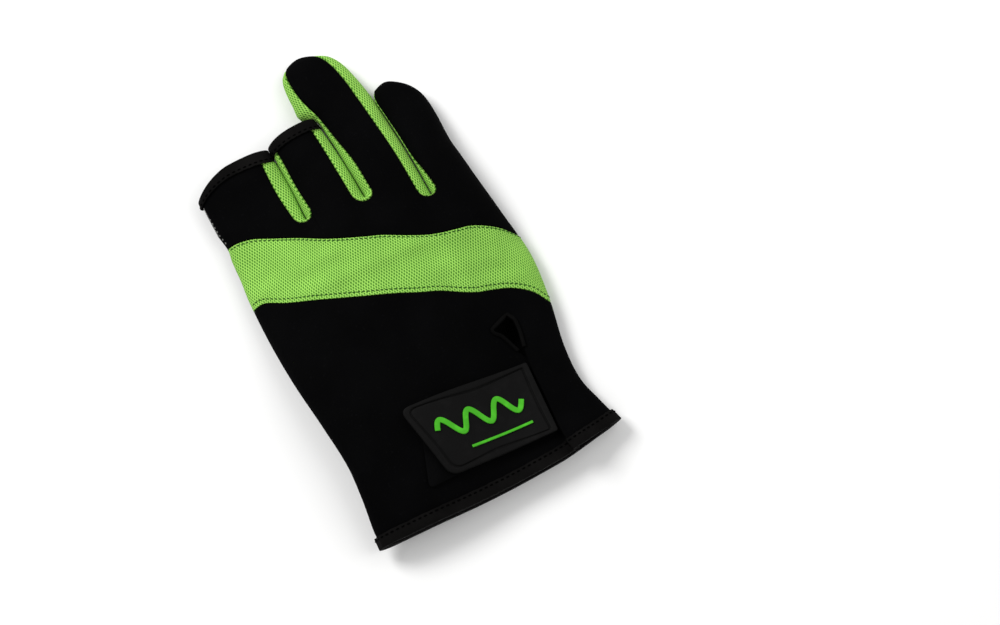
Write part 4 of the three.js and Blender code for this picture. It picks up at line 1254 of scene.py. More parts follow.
@dataclass
class FingeredPanel:
    """A panel that covers all four fingers, with a round slot between each two."""

    side: Side
    wall: float
    low_line: Callable[[Array], Array]
    hand_rows: Array
    blend_from: float
    finger_rows: int = 40
    strip: int = 25

    def shares(self, i: int) -> Array:
        """Return the columns of one finger's strip. Past 1 they turn under the pinky edge."""
        shares = eased(self.strip)
        if i == 3 and self.side is Side.BACK:
            return np.concatenate([shares, 1 + eased(WRAP_COLUMNS)[1:]])
        return shares

    def across(self, finger: Finger, share: Array, v: Array) -> Array:
        """Return the place across a finger of its strip's columns.

        Args:
            finger: the finger.
            share: the columns' shares.
            v: share of its length.

        Returns:
            The place across.
        """
        centre, half = finger.span(v)
        start = (finger.edge("back_left", v) - centre) / half
        pinky = finger.name == "pinky"
        wrap = FORM.pinky_wrap / half if pinky else 0.0 * half
        trim = wrap + FORM.wrap_seam / half if pinky and self.side is Side.PALM else 0.0
        inside = lerp(start, (finger.edge("back_right", v) - centre) / half - trim, share)
        return np.where(share > 1, 1 + (share - 1) * wrap, inside)

    def roots(self, inset: Array) -> tuple[Array, Array]:
        """Work out the nodes on the root lines and round the slots' ends.

        Args:
            inset: depth at each node.

        Returns:
            The nodes, and which of them turn under.
        """
        palm = self.side is Side.PALM
        drop = FORM.crotch_drop if palm else 0.0
        slot = np.linspace(0.0, 1.0, FORM.slot_nodes + 2)[1:-1]
        points = []
        under = []
        start = 0
        for i, finger in enumerate(FORM.fingers):
            share = self.shares(i)
            u = self.across(finger, share, np.zeros(len(share)))
            part = inset[:, start:start + len(share)]
            block = FORM.finger_point(finger, palm, u[None], np.zeros((1, len(share))), part)
            points.append(block)
            under.append(u > 1)
            start += len(share)
            if i < 3:
                part = inset[:, start:start + len(slot)]
                ends = []
                for other, t in ((finger, 1.0), (FORM.fingers[i + 1], 0.0)):
                    v = np.zeros(1)
                    place = self.across(other, np.full(1, t), v)
                    ends.append(FORM.finger_point(other, palm, place[None], v[None], part))
                points.append(FORM.round_slot(*ends, slot[None], drop))
                under.append(np.zeros(len(slot), bool))
                start += len(slot)
        return np.concatenate(points, axis=1), np.concatenate(under)

    def hand(self, inset: Array) -> Array:
        """Return the hand part's points: rows from the low line to the root nodes, blended into them.

        Args:
            inset: depth at each node.

        Returns:
            The points.
        """
        palm = self.side is Side.PALM
        roots, under = self.roots(inset)
        rows = self.hand_rows[:, None]
        centre, half = FORM.hand_span(roots[..., 1])
        share = FORM.across_of(roots[..., 0] - centre, half, inset)
        u = np.where(under[None], 2 - share, share)
        rise = roots[..., 2] - FORM.lift(roots[..., 0], roots[..., 1])
        y = lerp(self.low_line(u), roots[..., 1], rows)
        points = FORM.hand_point(palm, u, y, inset)
        lift = FORM.lift(points[..., 0], points[..., 1])
        blend = smoothstep(rows, self.blend_from, 1.0)
        points[..., 2] = lift + lerp(points[..., 2] - lift, rise, blend)
        return np.where((rows == 1.0)[..., None], roots, points)

    def cloth(self) -> Cloth:
        """Return the whole panel as a cloth of five patches."""
        cloth = Cloth(self.wall)
        columns = sum(len(self.shares(i)) for i in range(4)) + 3 * FORM.slot_nodes
        cloth.patch(self.hand, (len(self.hand_rows), columns))
        for i, finger in enumerate(FORM.fingers):
            share = self.shares(i)[None]
            end = 1 - FORM.tape_room / finger.length if finger.open_end else 1.0
            v = eased(self.finger_rows)[:, None] * end

            def place(inset: Array, finger: Finger = finger, share: Array = share, v: Array = v) -> Array:
                """Return the finger's points at a depth."""
                u = self.across(finger, share, v)
                return FORM.finger_point(finger, self.side is Side.PALM, u, v + 0 * u, inset)

            cloth.patch(place, (self.finger_rows, share.shape[1]))
        return cloth


@dataclass
class BackPanels:
    """The back of the glove: the fingered upper part, the knuckle band and the lower part with its slit."""

    upper_rows: int = 44
    band_rows: int = 46
    band_columns: int = 121
    slit_rows: int = 66
    rows_above_slit: int = 30
    main_columns: int = 88
    flap_columns: int = 34
    thread: Stitching = Stitching(pitch=1.9, length=1.35, radius=0.27)

    def upper_line(self, u: Array) -> Array:
        """Return the lower edge of the fingered part."""
        return FORM.curves["band_high"](u) * FORM.hand_length + FORM.seam / 2

    def lower_y(self, u: Array, r: Array) -> Array:
        """Work out the lower part's rows: 0 at the hem, 1 at the slit's end and 2 at the band."""
        hem = FORM.curves["hem"](u) * FORM.hand_length + FORM.tape_room + FORM.seam
        top = FORM.curves["band_low"](u) * FORM.hand_length - FORM.seam / 2
        apex = np.minimum(FORM.slit_apex * FORM.hand_length, lerp(hem, top, 0.88))
        return np.where(r <= 1, lerp(hem, apex, r), lerp(apex, top, r - 1))

    def slit_u(self, r: Array, edge: str) -> Array:
        """Return the place across of an edge of the slit on the rows, by stepping towards it.

        Args:
            r: the rows.
            edge: the edge's column.

        Returns:
            Places across.
        """
        u = np.full(np.shape(r), 0.55)
        for _ in range(8):
            y = self.lower_y(u, r)
            centre, half = FORM.hand_span(y)
            u = (FORM.curves[edge](y / FORM.hand_length) * FORM.hand_width - centre) / half
        return u

    def lower(self) -> Cloth:
        """Return the lower back: the main part and the flap, which share their edge above the slit."""
        r = np.concatenate([eased(self.slit_rows), 1 + eased(self.rows_above_slit)[1:]])[:, None]
        main_u = self.slit_u(r, "main")
        flap_u = self.slit_u(r, "flap")
        main_share = eased(self.main_columns)[None]
        flap_share = np.concatenate([eased(self.flap_columns), 1 + eased(WRAP_COLUMNS)[1:]])[None]

        def main(inset: Array) -> Array:
            """Return the main part's points at a depth."""
            u = lerp(-1.0, main_u, main_share)
            return FORM.hand_point(False, u, self.lower_y(u, r), inset)

        def flap(inset: Array) -> Array:
            """Return the flap's points at a depth."""
            past = np.maximum(flap_share - 1, 0.0)
            edge = np.where(flap_share > 1, 1 + past * FORM.pinky_wrap / (FORM.hand_width / 2),
                            lerp(flap_u, 1.0, flap_share))
            y = self.lower_y(edge, r)
            u = np.where(flap_share > 1, 1 + past * FORM.pinky_wrap / FORM.hand_span(y)[1], edge)
            return FORM.flap_point(u, y, inset)

        cloth = Cloth(FORM.neoprene)
        cloth.patch(main, (len(r), main_share.shape[1]))
        cloth.patch(flap, (len(r), flap_share.shape[1]))
        return cloth

    def band_point(self, a: Array, share: Array, inset: Array | float) -> Array:
        """Return points of the knuckle band.

        Args:
            a: place across, and past 1 under the pinky edge.
            share: 0 at its lower edge and 1 at its upper.
            inset: depth below the skin.

        Returns:
            The points.
        """
        past = np.maximum(a - 1, 0.0)
        edge = np.minimum(a, 1.0) + past * FORM.pinky_wrap / (FORM.hand_width / 2)
        low = FORM.curves["band_low"](edge) * FORM.hand_length + FORM.seam / 2
        high = FORM.curves["band_high"](edge) * FORM.hand_length - FORM.seam / 2
        y = lerp(low, high, share)
        u = np.where(a > 1, 1 + past * FORM.pinky_wrap / FORM.hand_span(y)[1], a)
        return FORM.hand_point(False, u, y, inset)

    def band(self) -> Cloth:
        """Return the knuckle band."""
        a = np.concatenate([-np.cos(np.linspace(0, np.pi, self.band_columns)), 1 + eased(10)[1:]])[None]
        share = eased(self.band_rows)[:, None]
        cloth = Cloth(FORM.mesh, 0.35)
        cloth.patch(lambda inset: self.band_point(a, share, inset), (self.band_rows, a.shape[1]))
        return cloth

    def band_stitches(self, share: float, from_edge: float) -> Surface:
        """Return a row of stitches along the band, a distance in from one of its edges.

        Args:
            share: 0 for the lower edge and 1 for the upper.
            from_edge: distance in from it.

        Returns:
            The stitches.
        """
        a = np.concatenate([np.linspace(-0.985, 1.0, 400), np.linspace(1.0, 1.8, 20)[1:]])
        low = self.band_point(a, np.zeros(len(a)), 0.0)
        high = self.band_point(a, np.ones(len(a)), 0.0)
        height = np.linalg.norm(high - low, axis=-1)
        where = share + (from_edge if share == 0 else -from_edge) / height
        return self.thread.on(lambda inset: self.band_point(a, where, inset))

    def build(self) -> None:
        """Make and dress the back's pieces."""
        upper = FingeredPanel(Side.BACK, FORM.neoprene, self.upper_line, eased(self.upper_rows), 0.1)
        upper.cloth().make("back_upper", Finishes.NEOPRENE, "neoprene_black", (128, 122), ["palm"])
        self.band().make("knuckle_band", Finishes.MESH, "mesh_green", (128, 62), ["palm"])
        self.lower().make("back_lower", Finishes.NEOPRENE, "neoprene_black", (128, 118), ["palm"])
        rows = self.band_stitches(0.0, 2.0).joined(self.band_stitches(1.0, 0.9))
        rows.make("band_stitches", Finishes.GREEN_THREAD, "mesh_green")


@dataclass
class PalmPanel:
    """The palm: close knit with the hole that the thumb is set in, and a lattice of grip dots."""

    hand_row_count: int = 96
    pitch: float = 2.3
    dot_radius: float = 0.5
    dot_height: float = 0.22
    margin: float = 1.6
    edge_row: float = 0.988
    above_tape: float = 6.0
    from_slot: float = 1.0
    below_slots: tuple[float, float] = (3.0, 4.5)
    slot_ends: tuple[tuple[float, ...], ...] = ((-0.18, 0.05, 0.28), (1.06, 1.029, 0.937))
    hole_nodes: int = 60
    hole_heights: tuple[float, float] = (-5.0, 30.0)

    def low_line(self, u: Array) -> Array:
        """Return the palm's lower edge."""
        return FORM.curves["hem"](u) * FORM.hand_length + FORM.tape_room + FORM.seam

    def hole_ring(self, inset: float) -> Array:
        """Return the outline of the thumb's root in the palm, seen from above.

        Args:
            inset: depth below the thumb's skin.

        Returns:
            The outline's points.
        """
        over = -np.cos(np.linspace(0, np.pi, self.hole_nodes))[:-1]
        rings = []
        for palm, u in ((False, over), (True, -over)):
            zero = np.zeros(len(u))
            rings.append(FORM.thumb_point(zero, zero + 1, zero, palm, u, inset, 0.0)[:, :2])
        return np.concatenate(rings)

    def cut_hole(self, piece: bpy.types.Object) -> None:
        """Cut the thumb's hole through the palm with an upright prism.

        Args:
            piece: the palm.
        """
        ring = self.hole_ring(-FORM.seam)
        points = np.stack([np.column_stack([ring, np.full(len(ring), z)]) for z in self.hole_heights])
        cutter = swept(points, closed=False).make("thumb_hole_cutter", Finishes.PALM, "palm_grip")
        bpy.context.view_layer.update()
        cut = piece.modifiers.new("hole", "BOOLEAN")
        cut.operation = "DIFFERENCE"
        cut.object = cutter
        cut.solver = "EXACT"
        graph = bpy.context.evaluated_depsgraph_get()
        mesh = bpy.data.meshes.new_from_object(piece.evaluated_get(graph), depsgraph=graph)
        piece.modifiers.clear()
        piece.data = mesh
        bpy.data.objects.remove(cutter)

    def outside_hole(self, points: Array, clear: float) -> Array:
        """Return which points lie clear of the thumb's root: outside its outline by a distance.

        Args:
            points: the places.
            clear: the distance.

        Returns:
            True where a line to the right crosses the outline an even number of times.
        """
        ring = self.hole_ring(-FORM.seam - clear)
        after = np.roll(ring, -1, axis=0)
        y = points[:, 1:2]
        crosses = (ring[None, :, 1] > y) != (after[None, :, 1] > y)
        rise = np.where(after[:, 1] == ring[:, 1], 1.0, after[:, 1] - ring[:, 1])
        at = ring[None, :, 0] + (y - ring[None, :, 1]) * ((after[:, 0] - ring[:, 0]) / rise)[None]
        return (crosses & (points[:, :1] < at)).sum(axis=1) % 2 == 0

    def dots_on_row(self, row: int, place: Callable[[Array, float], Array], low: float, high: float
                    ) -> tuple[Array, Array]:
        """Return dot centres and directions on one row, at even steps of the length round the section.

        Args:
            row: its number, and every other row is staggered.
            place: turns places across and a depth into points.
            low: its first place across.
            high: its last.

        Returns:
            Both.
        """
        u = -np.cos(np.linspace(math.acos(-low), math.acos(-high), 160))
        skin = place(u, 0.0)
        run = np.concatenate([[0.0], np.cumsum(np.linalg.norm(np.diff(skin, axis=0), axis=-1))])
        run = run - np.interp(0.0, u, run) if low < 0 < high else run - run[-1] / 2
        first = math.ceil((run[0] + self.margin) / self.pitch + 0.5)
        last = math.floor((run[-1] - self.margin) / self.pitch - 0.5)
        at = (np.arange(first, last + 1) + 0.5 * (row % 2)) * self.pitch
        at = at[(at > run[0] + self.margin) & (at < run[-1] - self.margin)]
        where = np.interp(at, run, u)
        centres = place(where, 0.0)
        return centres, unit(centres - place(where, 0.5))

    def on_hand(self, points: Array, y: float, step: float) -> Array:
        """Tell which points of a row lie on the hand: below their finger's root line, or below the slots.

        Args:
            points: the row's dots.
            y: its place along.
            step: distance between rows.

        Returns:
            True for each that does.
        """
        keep = np.zeros(len(points), bool)
        for finger in FORM.fingers:
            left, right = (float(finger.edge(name, 0.0)) for name in ("back_left", "back_right"))
            share = np.clip((points[:, 0] - left) / (right - left), 0, 1)
            root = lerp(finger.root_left, finger.root_right, share)
            within = (points[:, 0] > left + self.from_slot) & (points[:, 0] < right - self.from_slot)
            keep |= within & (y < root - 0.3 * step)
        across, along = self.slot_ends
        ends = FORM.hand_length * np.interp(points[:, 0] / FORM.hand_width, across, along) - FORM.crotch_drop
        lowest = FORM.hand_length * min(along) - FORM.crotch_drop
        return keep | (y < lowest - self.below_slots[0]) | (y < ends - self.below_slots[1])

    def hand_rows(self, step: float) -> Rows:
        """Return the rows of dots up the hand, with their directions.

        Args:
            step: distance between rows.

        Returns:
            The rows.
        """
        edge = 1 - (FORM.pinky_wrap + FORM.wrap_seam) / (FORM.hand_width / 2)
        start = FORM.tape_width + self.above_tape
        rows = []
        for row in range(int((FORM.fingers[0].root_left - start) / step)):
            y = start + row * step
            points, up = self.dots_on_row(
                row, lambda u, inset, y=y: FORM.hand_point(True, u, np.full(len(u), y), inset), -1.0, edge)
            keep = self.on_hand(points, y, step)
            rows.append((points[keep], up[keep]))
        return rows

    def finger_rows(self, step: float) -> Rows:
        """Return the rows of dots up each finger, with their directions.

        Args:
            step: distance between rows.

        Returns:
            The rows.
        """
        rows = []
        for finger in FORM.fingers:
            reach = finger.length - (FORM.tape_width + 1.5 if finger.open_end else 0.5 * FORM.tip_roll)
            for row in range(int(reach / step)):
                v = np.full(1, (row + 0.5) * step / finger.length)
                centre, half = finger.span(v)
                low = float(((finger.edge("back_left", v) - centre) / half)[0])
                high = float(((finger.edge("back_right", v) - centre) / half)[0])
                if finger.name == "pinky":
                    high -= float((FORM.pinky_wrap + FORM.wrap_seam) / half[0])
                rows.append(self.dots_on_row(
                    row, lambda u, inset, v=v, finger=finger: FORM.finger_point(
                        finger, True, u, np.full(len(u), v[0]), inset), max(low, -1.0), min(high, 1.0)))
        return rows

    def edge_rows(self, step: float) -> Rows:
        """Return the two rows of dots that show beside the index finger, with their directions.

        Args:
            step: distance between rows.

        Returns:
            The rows.
        """
        index = FORM.fingers[0]
        y = np.arange(FORM.hand_length * CROSS_LINES.rows[0][3] + 2.5, index.root_left + 8.0, step)
        v = np.arange(0.5, index.length - FORM.tape_width - 1.0, step) / index.length

        def hand(inset: float) -> Array:
            """Return the places beside the hand at a depth."""
            return FORM.hand_point(False, np.full(len(y), -self.edge_row), y, inset)

        def finger(inset: float) -> Array:
            """Return the places beside the finger at a depth."""
            return FORM.finger_point(index, False, np.full(len(v), -self.edge_row), v, inset)

        return [(place(0.0), unit(place(0.0) - place(0.5))) for place in (hand, finger)]

    def dots(self) -> Surface:
        """Return every grip dot of the palm, on staggered rows up the hand and each finger."""
        step = self.pitch * math.sqrt(3) / 2
        rows = self.hand_rows(step) + self.finger_rows(step) + self.edge_rows(step)
        centres = np.concatenate([points for points, _ in rows])
        ups = np.concatenate([up for _, up in rows])
        clear = self.outside_hole(centres, self.margin)
        forward = np.tile(np.array([[0.0, 1.0, 0.0]]), (int(clear.sum()), 1))
        return scattered(dot_form(self.dot_radius, self.dot_height), centres[clear], forward, ups[clear])

    def build(self) -> None:
        """Make and dress the palm and its dots."""
        panel = FingeredPanel(Side.PALM, FORM.palm_cloth, self.low_line, eased(self.hand_row_count), 0.72)
        piece = panel.cloth().make("palm", Finishes.PALM, "palm_grip", (118, 205), ["thumb_palm"])
        self.cut_hole(piece)
        self.dots().make("grip_dots", Finishes.SILICONE, "palm_grip")


@dataclass
class Gussets:
    """The mesh gussets between the fingers: down one finger's side, round the crotch and up the next."""

    limb_rows: int = 46
    crotch_rows: int = 26
    profile_rows: int = 25
    end_share: float = 0.03
    start_gap: float = 1.7
    least_start: float = 0.2
    full_puff: tuple[float, float] = (0.6, 0.35)
    slack_puff: tuple[float, float] = (-0.1, -0.2)
    middle_puff: tuple[float, float] = (-0.1, 0.55)

    def side(self, finger: Finger, to_right: bool, v: Array, k: Array, inset: Array) -> Array:
        """Return points on a finger's side, from the back's edge at k 0 round to the palm's at k 1.

        Args:
            finger: the finger.
            to_right: whether on its right side.
            v: share of its length.
            k: place on the gusset's profile.
            inset: depth below the skin.

        Returns:
            The points, puffed out by a sine of k.
        """
        centre, half = finger.span(v)
        name = "back_right" if to_right else "back_left"
        edge = np.abs((finger.edge(name, v) - centre) / half) + self.start_gap * FORM.seam / half
        edge = np.minimum(edge, 1 - self.least_start / half)
        turn = 1 - np.abs(2 * k - 1)
        out = lerp(edge, 1.0, np.sin(turn * np.pi / 2))
        palm = np.broadcast_to(k > 0.5, np.broadcast_shapes(k.shape, v.shape))
        point = FORM.finger_point(finger, palm, out if to_right else -out, v + 0 * out, inset, 0.0)
        slack = self.middle_puff if finger.name == "middle" else self.slack_puff
        puff, rise = self.full_puff if to_right else slack
        bulge = (puff + rise * smoothstep(v, 0.0, 0.9)) * np.sin(np.pi * k) ** 0.8
        point[..., 0] += bulge if to_right else -bulge
        return point

    def reach(self, finger: Finger) -> float:
        """Return the share of a finger that its limb covers."""
        return 1 - (FORM.tape_room if finger.open_end else self.end_share * FORM.tip_roll) / finger.length

    def cloth(self, left: Finger, right: Finger) -> Cloth:
        """Return one gusset.

        Args:
            left: the finger on its left.
            right: the finger on its right.

        Returns:
            The gusset.
        """
        k = eased(self.profile_rows)[None]
        down = (1 - eased(self.limb_rows, 0.7))[:-1]
        turn = np.linspace(0, 1, self.crotch_rows)
        up = eased(self.limb_rows, 0.7)[1:]
        kind = np.concatenate([0 * down, 0 * turn + 1, 0 * up + 2])[:, None]
        v_left = np.concatenate([down, 0 * turn, 0 * up])[:, None] * self.reach(left)
        v_right = np.concatenate([0 * down, 0 * turn, up])[:, None] * self.reach(right)
        turns = np.concatenate([0 * down, turn, 0 * up])[:, None]

        def place(inset: Array) -> Array:
            """Return the gusset's points at a depth."""
            one = self.side(left, True, v_left, k, inset)
            other = self.side(right, False, v_right, k, inset)
            crotch = FORM.round_slot(one, other, turns, FORM.crotch_drop * k)
            return np.where(kind[..., None] == 0, one, np.where(kind[..., None] == 1, crotch, other))

        cloth = Cloth(FORM.mesh, 0.35)
        cloth.patch(place, (len(kind), k.shape[1]))
        return cloth

    def build(self) -> None:
        """Make and dress the three gussets."""
        for left, right in zip(FORM.fingers, FORM.fingers[1:]):
            long = left.length + right.length + 12.0
            self.cloth(left, right).make(f"fourchette_{left.name}_{right.name}", Finishes.MESH, "mesh_green",
                                         (17.0, long), ["palm"])


@dataclass
class Thumb:
    """The open thumb, folded flat under the palm: two halves and the tape round its mouth."""

    columns: int = 61

    def rows(self) -> tuple[Array, Array, Array]:
        """Return turn, raised and reach of each row, from the palm's hole to the mouth."""
        drop = np.linspace(1, 0, 6)[:-1]
        bend = np.linspace(0, 1, 30)[:-1]
        run = eased(46, 0.6)
        turn = np.concatenate([0 * drop, bend, 0 * run + 1])[:, None]
        raised = np.concatenate([drop, 0 * bend, 0 * run])[:, None]
        reach = np.concatenate([0 * drop, 0 * bend, run])[:, None]
        return turn, raised, reach

    def half(self, palm: bool, wall: float) -> Cloth:
        """Return one half of the thumb.

        Args:
            palm: whether its outer half, at the surface.
            wall: the cloth's thickness.

        Returns:
            The half.
        """
        turn, raised, reach = self.rows()
        u = -np.cos(np.linspace(0, np.pi, self.columns))[None]
        forward = np.where(reach >= 1, -FORM.tape_room, 0.0)

        def place(inset: Array) -> Array:
            """Return the half's points at a depth."""
            return FORM.thumb_point(turn, raised, reach, palm, u, inset, None, forward)

        cloth = Cloth(wall)
        cloth.patch(place, (len(turn), self.columns))
        return cloth

    def build(self) -> None:
        """Make and dress the two halves."""
        back = self.half(True, FORM.neoprene)
        back.make("thumb_back", Finishes.NEOPRENE, "neoprene_black", (52, 104), [])
        palm = self.half(False, FORM.palm_cloth)
        palm.make("thumb_palm", Finishes.PALM, "palm_grip", (52, 92), ["thumb_back"])


@dataclass
class Bindings:
    """Tape folded over the open finger mouths, the thumb's mouth, the cuff and the slit's upper end."""

    ring_count: int = 190
    corner: float = 0.24
    stitch_back: float = 3.9
    slit_width: float = 1.5
    slit_from: float = 0.35
    slit_side: int = 26
    slit_top: int = 14
    ruck: float = 0.07

    def section(self, wall: float, legs: int = 2) -> Array:
        """Return the tape's rounded section as pairs of inset and distance back from its fold.

        Args:
            wall: thickness of what it binds.
            legs: 1 to leave the inner leg out.

        Returns:
            The section.
        """
        outside = -FORM.tape_room
        t = FORM.tape
        w = FORM.tape_width
        if legs == 1:
            corners = [(outside, w), (outside, 0), (wall, 0), (wall, t), (outside + t, t), (outside + t, w)]
        else:
            inside = wall + FORM.tape_room
            corners = [(outside, w), (outside, 0), (inside, 0), (inside, w),
                       (inside - t, w), (inside - t, t), (outside + t, t), (outside + t, w)]
        return rounded_loop(corners, self.corner)

    def ring(self) -> tuple[Array, Array]:
        """Return the places across round a mouth, and which of them are on the palm's side."""
        angle = np.linspace(0, 2 * np.pi, self.ring_count, endpoint=False)
        return -np.cos(angle)[:, None], (angle > np.pi)[:, None]

    def rucked(self, back: Array, count: int) -> Array:
        """Return the tape's widths with small waves between its stitches: two sines along it."""
        wave = np.sin(np.arange(count) * 2.1) + np.sin(np.arange(count) * 0.83 + 1.0)
        return back + self.ruck * wave[:, None] * (back > 0.5 * FORM.tape_width)

    def finger(self, finger: Finger) -> tuple[Surface, Surface]:
        """Return the tape round a finger's mouth, and its stitches.

        Args:
            finger: the finger.

        Returns:
            The tape and the stitches.
        """
        u, palm = self.ring()
        inset, back = self.section(FORM.neoprene).T
        back = self.rucked(back[None] + 0 * u, len(u))
        points = FORM.finger_point(finger, palm, u + 0 * back, 1 - back / finger.length, inset[None], 0.0)
        v = np.full(len(u), 1 - self.stitch_back / finger.length)
        row = Stitching().on(lambda d: FORM.finger_point(
            finger, palm[:, 0], u[:, 0], v, d - FORM.tape_room, 0.0), closed=True)
        return swept(points, closed=True), row

    def thumb(self) -> tuple[Surface, Surface]:
        """Return the tape round the thumb's mouth, and its stitches."""
        u, palm = self.ring()
        inset, back = self.section(FORM.neoprene, legs=1).T
        one = np.ones_like(u)
        points = FORM.thumb_point(one, 0 * one, one, palm, u, inset[None], 0.0, -back[None])
        row = Stitching().on(lambda d: FORM.thumb_point(
            one[:, 0], 0 * one[:, 0], one[:, 0], palm[:, 0], u[:, 0], d - FORM.tape_room, 0.0,
            -self.stitch_back), closed=True)
        return swept(points, closed=True), row

    def cuff_path(self, panels: BackPanels) -> tuple[Array, Array, Array]:
        """Work out place across, palm marks and flap marks along the main, palm and flap hems.

        Args:
            panels: the back, which knows where the slit ends.

        Returns:
            The three.
        """
        main_end = float(panels.slit_u(np.zeros(1), "main")[0])
        flap_end = float(panels.slit_u(np.zeros(1), "flap")[0])
        main = lerp(-1.0, main_end, np.cos(np.linspace(0, np.pi / 2, 90)))[:-1]
        palm = -np.cos(np.linspace(0, np.pi, 150))[:-1]
        flap = lerp(flap_end, 1.0, np.cos(np.linspace(0, np.pi / 2, 60)))
        u = np.concatenate([main, palm, flap])
        on_palm = np.concatenate([0 * main, 0 * palm + 1, 0 * flap]) > 0
        on_flap = np.concatenate([0 * main, 0 * palm, 0 * flap + 1]) > 0
        return u[:, None], on_palm[:, None], on_flap[:, None]

    def cuff_point(self, u: Array, palm: Array, flap: Array, back: Array | float, inset: Array | float
                   ) -> Array:
        """Return points at a distance back from the cuff's edge.

        Args:
            u: place across.
            palm: marks of the palm's hem.
            flap: marks of the flap's hem.
            back: distance back from the edge.
            inset: depth below the skin.

        Returns:
            The points.
        """
        y = FORM.curves["hem"](u) * FORM.hand_length + back
        u = u + 0 * y
        plain = FORM.hand_point(palm, u, y, inset, 0.0)
        return np.where(np.broadcast_to(flap, y.shape)[..., None], FORM.flap_point(u, y, inset, 0.0), plain)

    def cuff(self, panels: BackPanels) -> tuple[Surface, Surface]:
        """Return the cuff's tape, and its stitches.

        Args:
            panels: the back.

        Returns:
            The tape and the stitches.
        """
        u, palm, flap = self.cuff_path(panels)
        inset, back = self.section(FORM.neoprene).T
        back = self.rucked(back[None] + 0 * u, len(u))
        points = self.cuff_point(u, palm, flap, back, inset[None])
        row = Stitching().on(lambda d: self.cuff_point(
            u[:, 0], palm[:, 0], flap[:, 0], self.stitch_back, d - FORM.tape_room))
        return swept(points, closed=False), row

    def slit_path(self) -> tuple[Array, Array]:
        """Return the places round the slit's open upper end, up the main edge and down the flap's."""
        def edge(along: Array, name: str) -> Array:
            """Return the places of one edge, seen from above."""
            return np.stack([FORM.curves[name](along) * FORM.hand_width, along * FORM.hand_length], axis=-1)

        rising = np.linspace(self.slit_from, FORM.slit_corner, self.slit_side)
        corner = edge(np.array([FORM.slit_corner]), "main")
        apex = edge(np.array([FORM.slit_apex]), "main")
        top = lerp(corner, apex, np.linspace(0, 1, self.slit_top)[1:, None])
        path = np.concatenate([edge(rising, "main"), top, edge(rising[::-1], "flap")])
        on_flap = np.concatenate([np.zeros(len(rising) + len(top), bool), np.ones(len(rising), bool)])
        return path, on_flap

    def slit_point(self, out: Array, inset: Array | float) -> Array:
        """Return points a distance out from the slit's edge, into the opening.

        Args:
            out: distance out from the edge.
            inset: depth below the skin.

        Returns:
            The points.
        """
        path, on_flap = self.slit_path()
        kernel = np.ones(5) / 5
        padded = np.concatenate([path[:1]] * 2 + [path] + [path[-1:]] * 2)
        smooth = np.stack([np.convolve(padded[:, k], kernel, "valid") for k in range(2)], axis=-1)
        run = np.gradient(smooth, axis=0)
        inward = unit(np.stack([run[:, 1], -run[:, 0]], axis=-1))[:, None]
        place = path[:, None] + inward * out[..., None]
        x, y = place[..., 0], place[..., 1]
        centre, half = FORM.hand_span(y)
        point = FORM.hand_point(False, (x - centre) / half, y, inset, 0.0)
        point[..., 0] = x
        point[..., 2] += np.where(on_flap[:, None], FORM.flap_rise(x, y), 0.0)
        return point

    def slit(self) -> Surface:
        """Return the tape round the slit's open upper end."""
        inset, back = self.section(FORM.neoprene).T
        out = 0.5 * FORM.tape_room - np.minimum(back, self.slit_width)
        path, _ = self.slit_path()
        return swept(self.slit_point(np.tile(out, (len(path), 1)), inset[None]), closed=False)

    def build(self, panels: BackPanels) -> None:
        """Make and dress the tapes and their stitches.

        Args:
            panels: the back.
        """
        index, middle = FORM.fingers[:2]
        tapes = {
            "index_binding": self.finger(index),
            "middle_binding": self.finger(middle),
            "thumb_binding": self.thumb(),
            "cuff_binding": self.cuff(panels),
        }
        for name, (tape, row) in tapes.items():
            piece = tape.make(name + "_tape", Finishes.TAPE, "binding_tape")
            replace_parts(piece, name)
            row.make(name + "_stitches", Finishes.DARK_THREAD, "binding_tape")
        # The slit's tape takes the darker copy of the binding tape, which is painted shade.
        slit = self.slit().make("slit_binding_tape", Finishes.SLIT_TAPE_PAINTED_SHADE, "binding_tape")
        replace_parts(slit, "slit_binding")


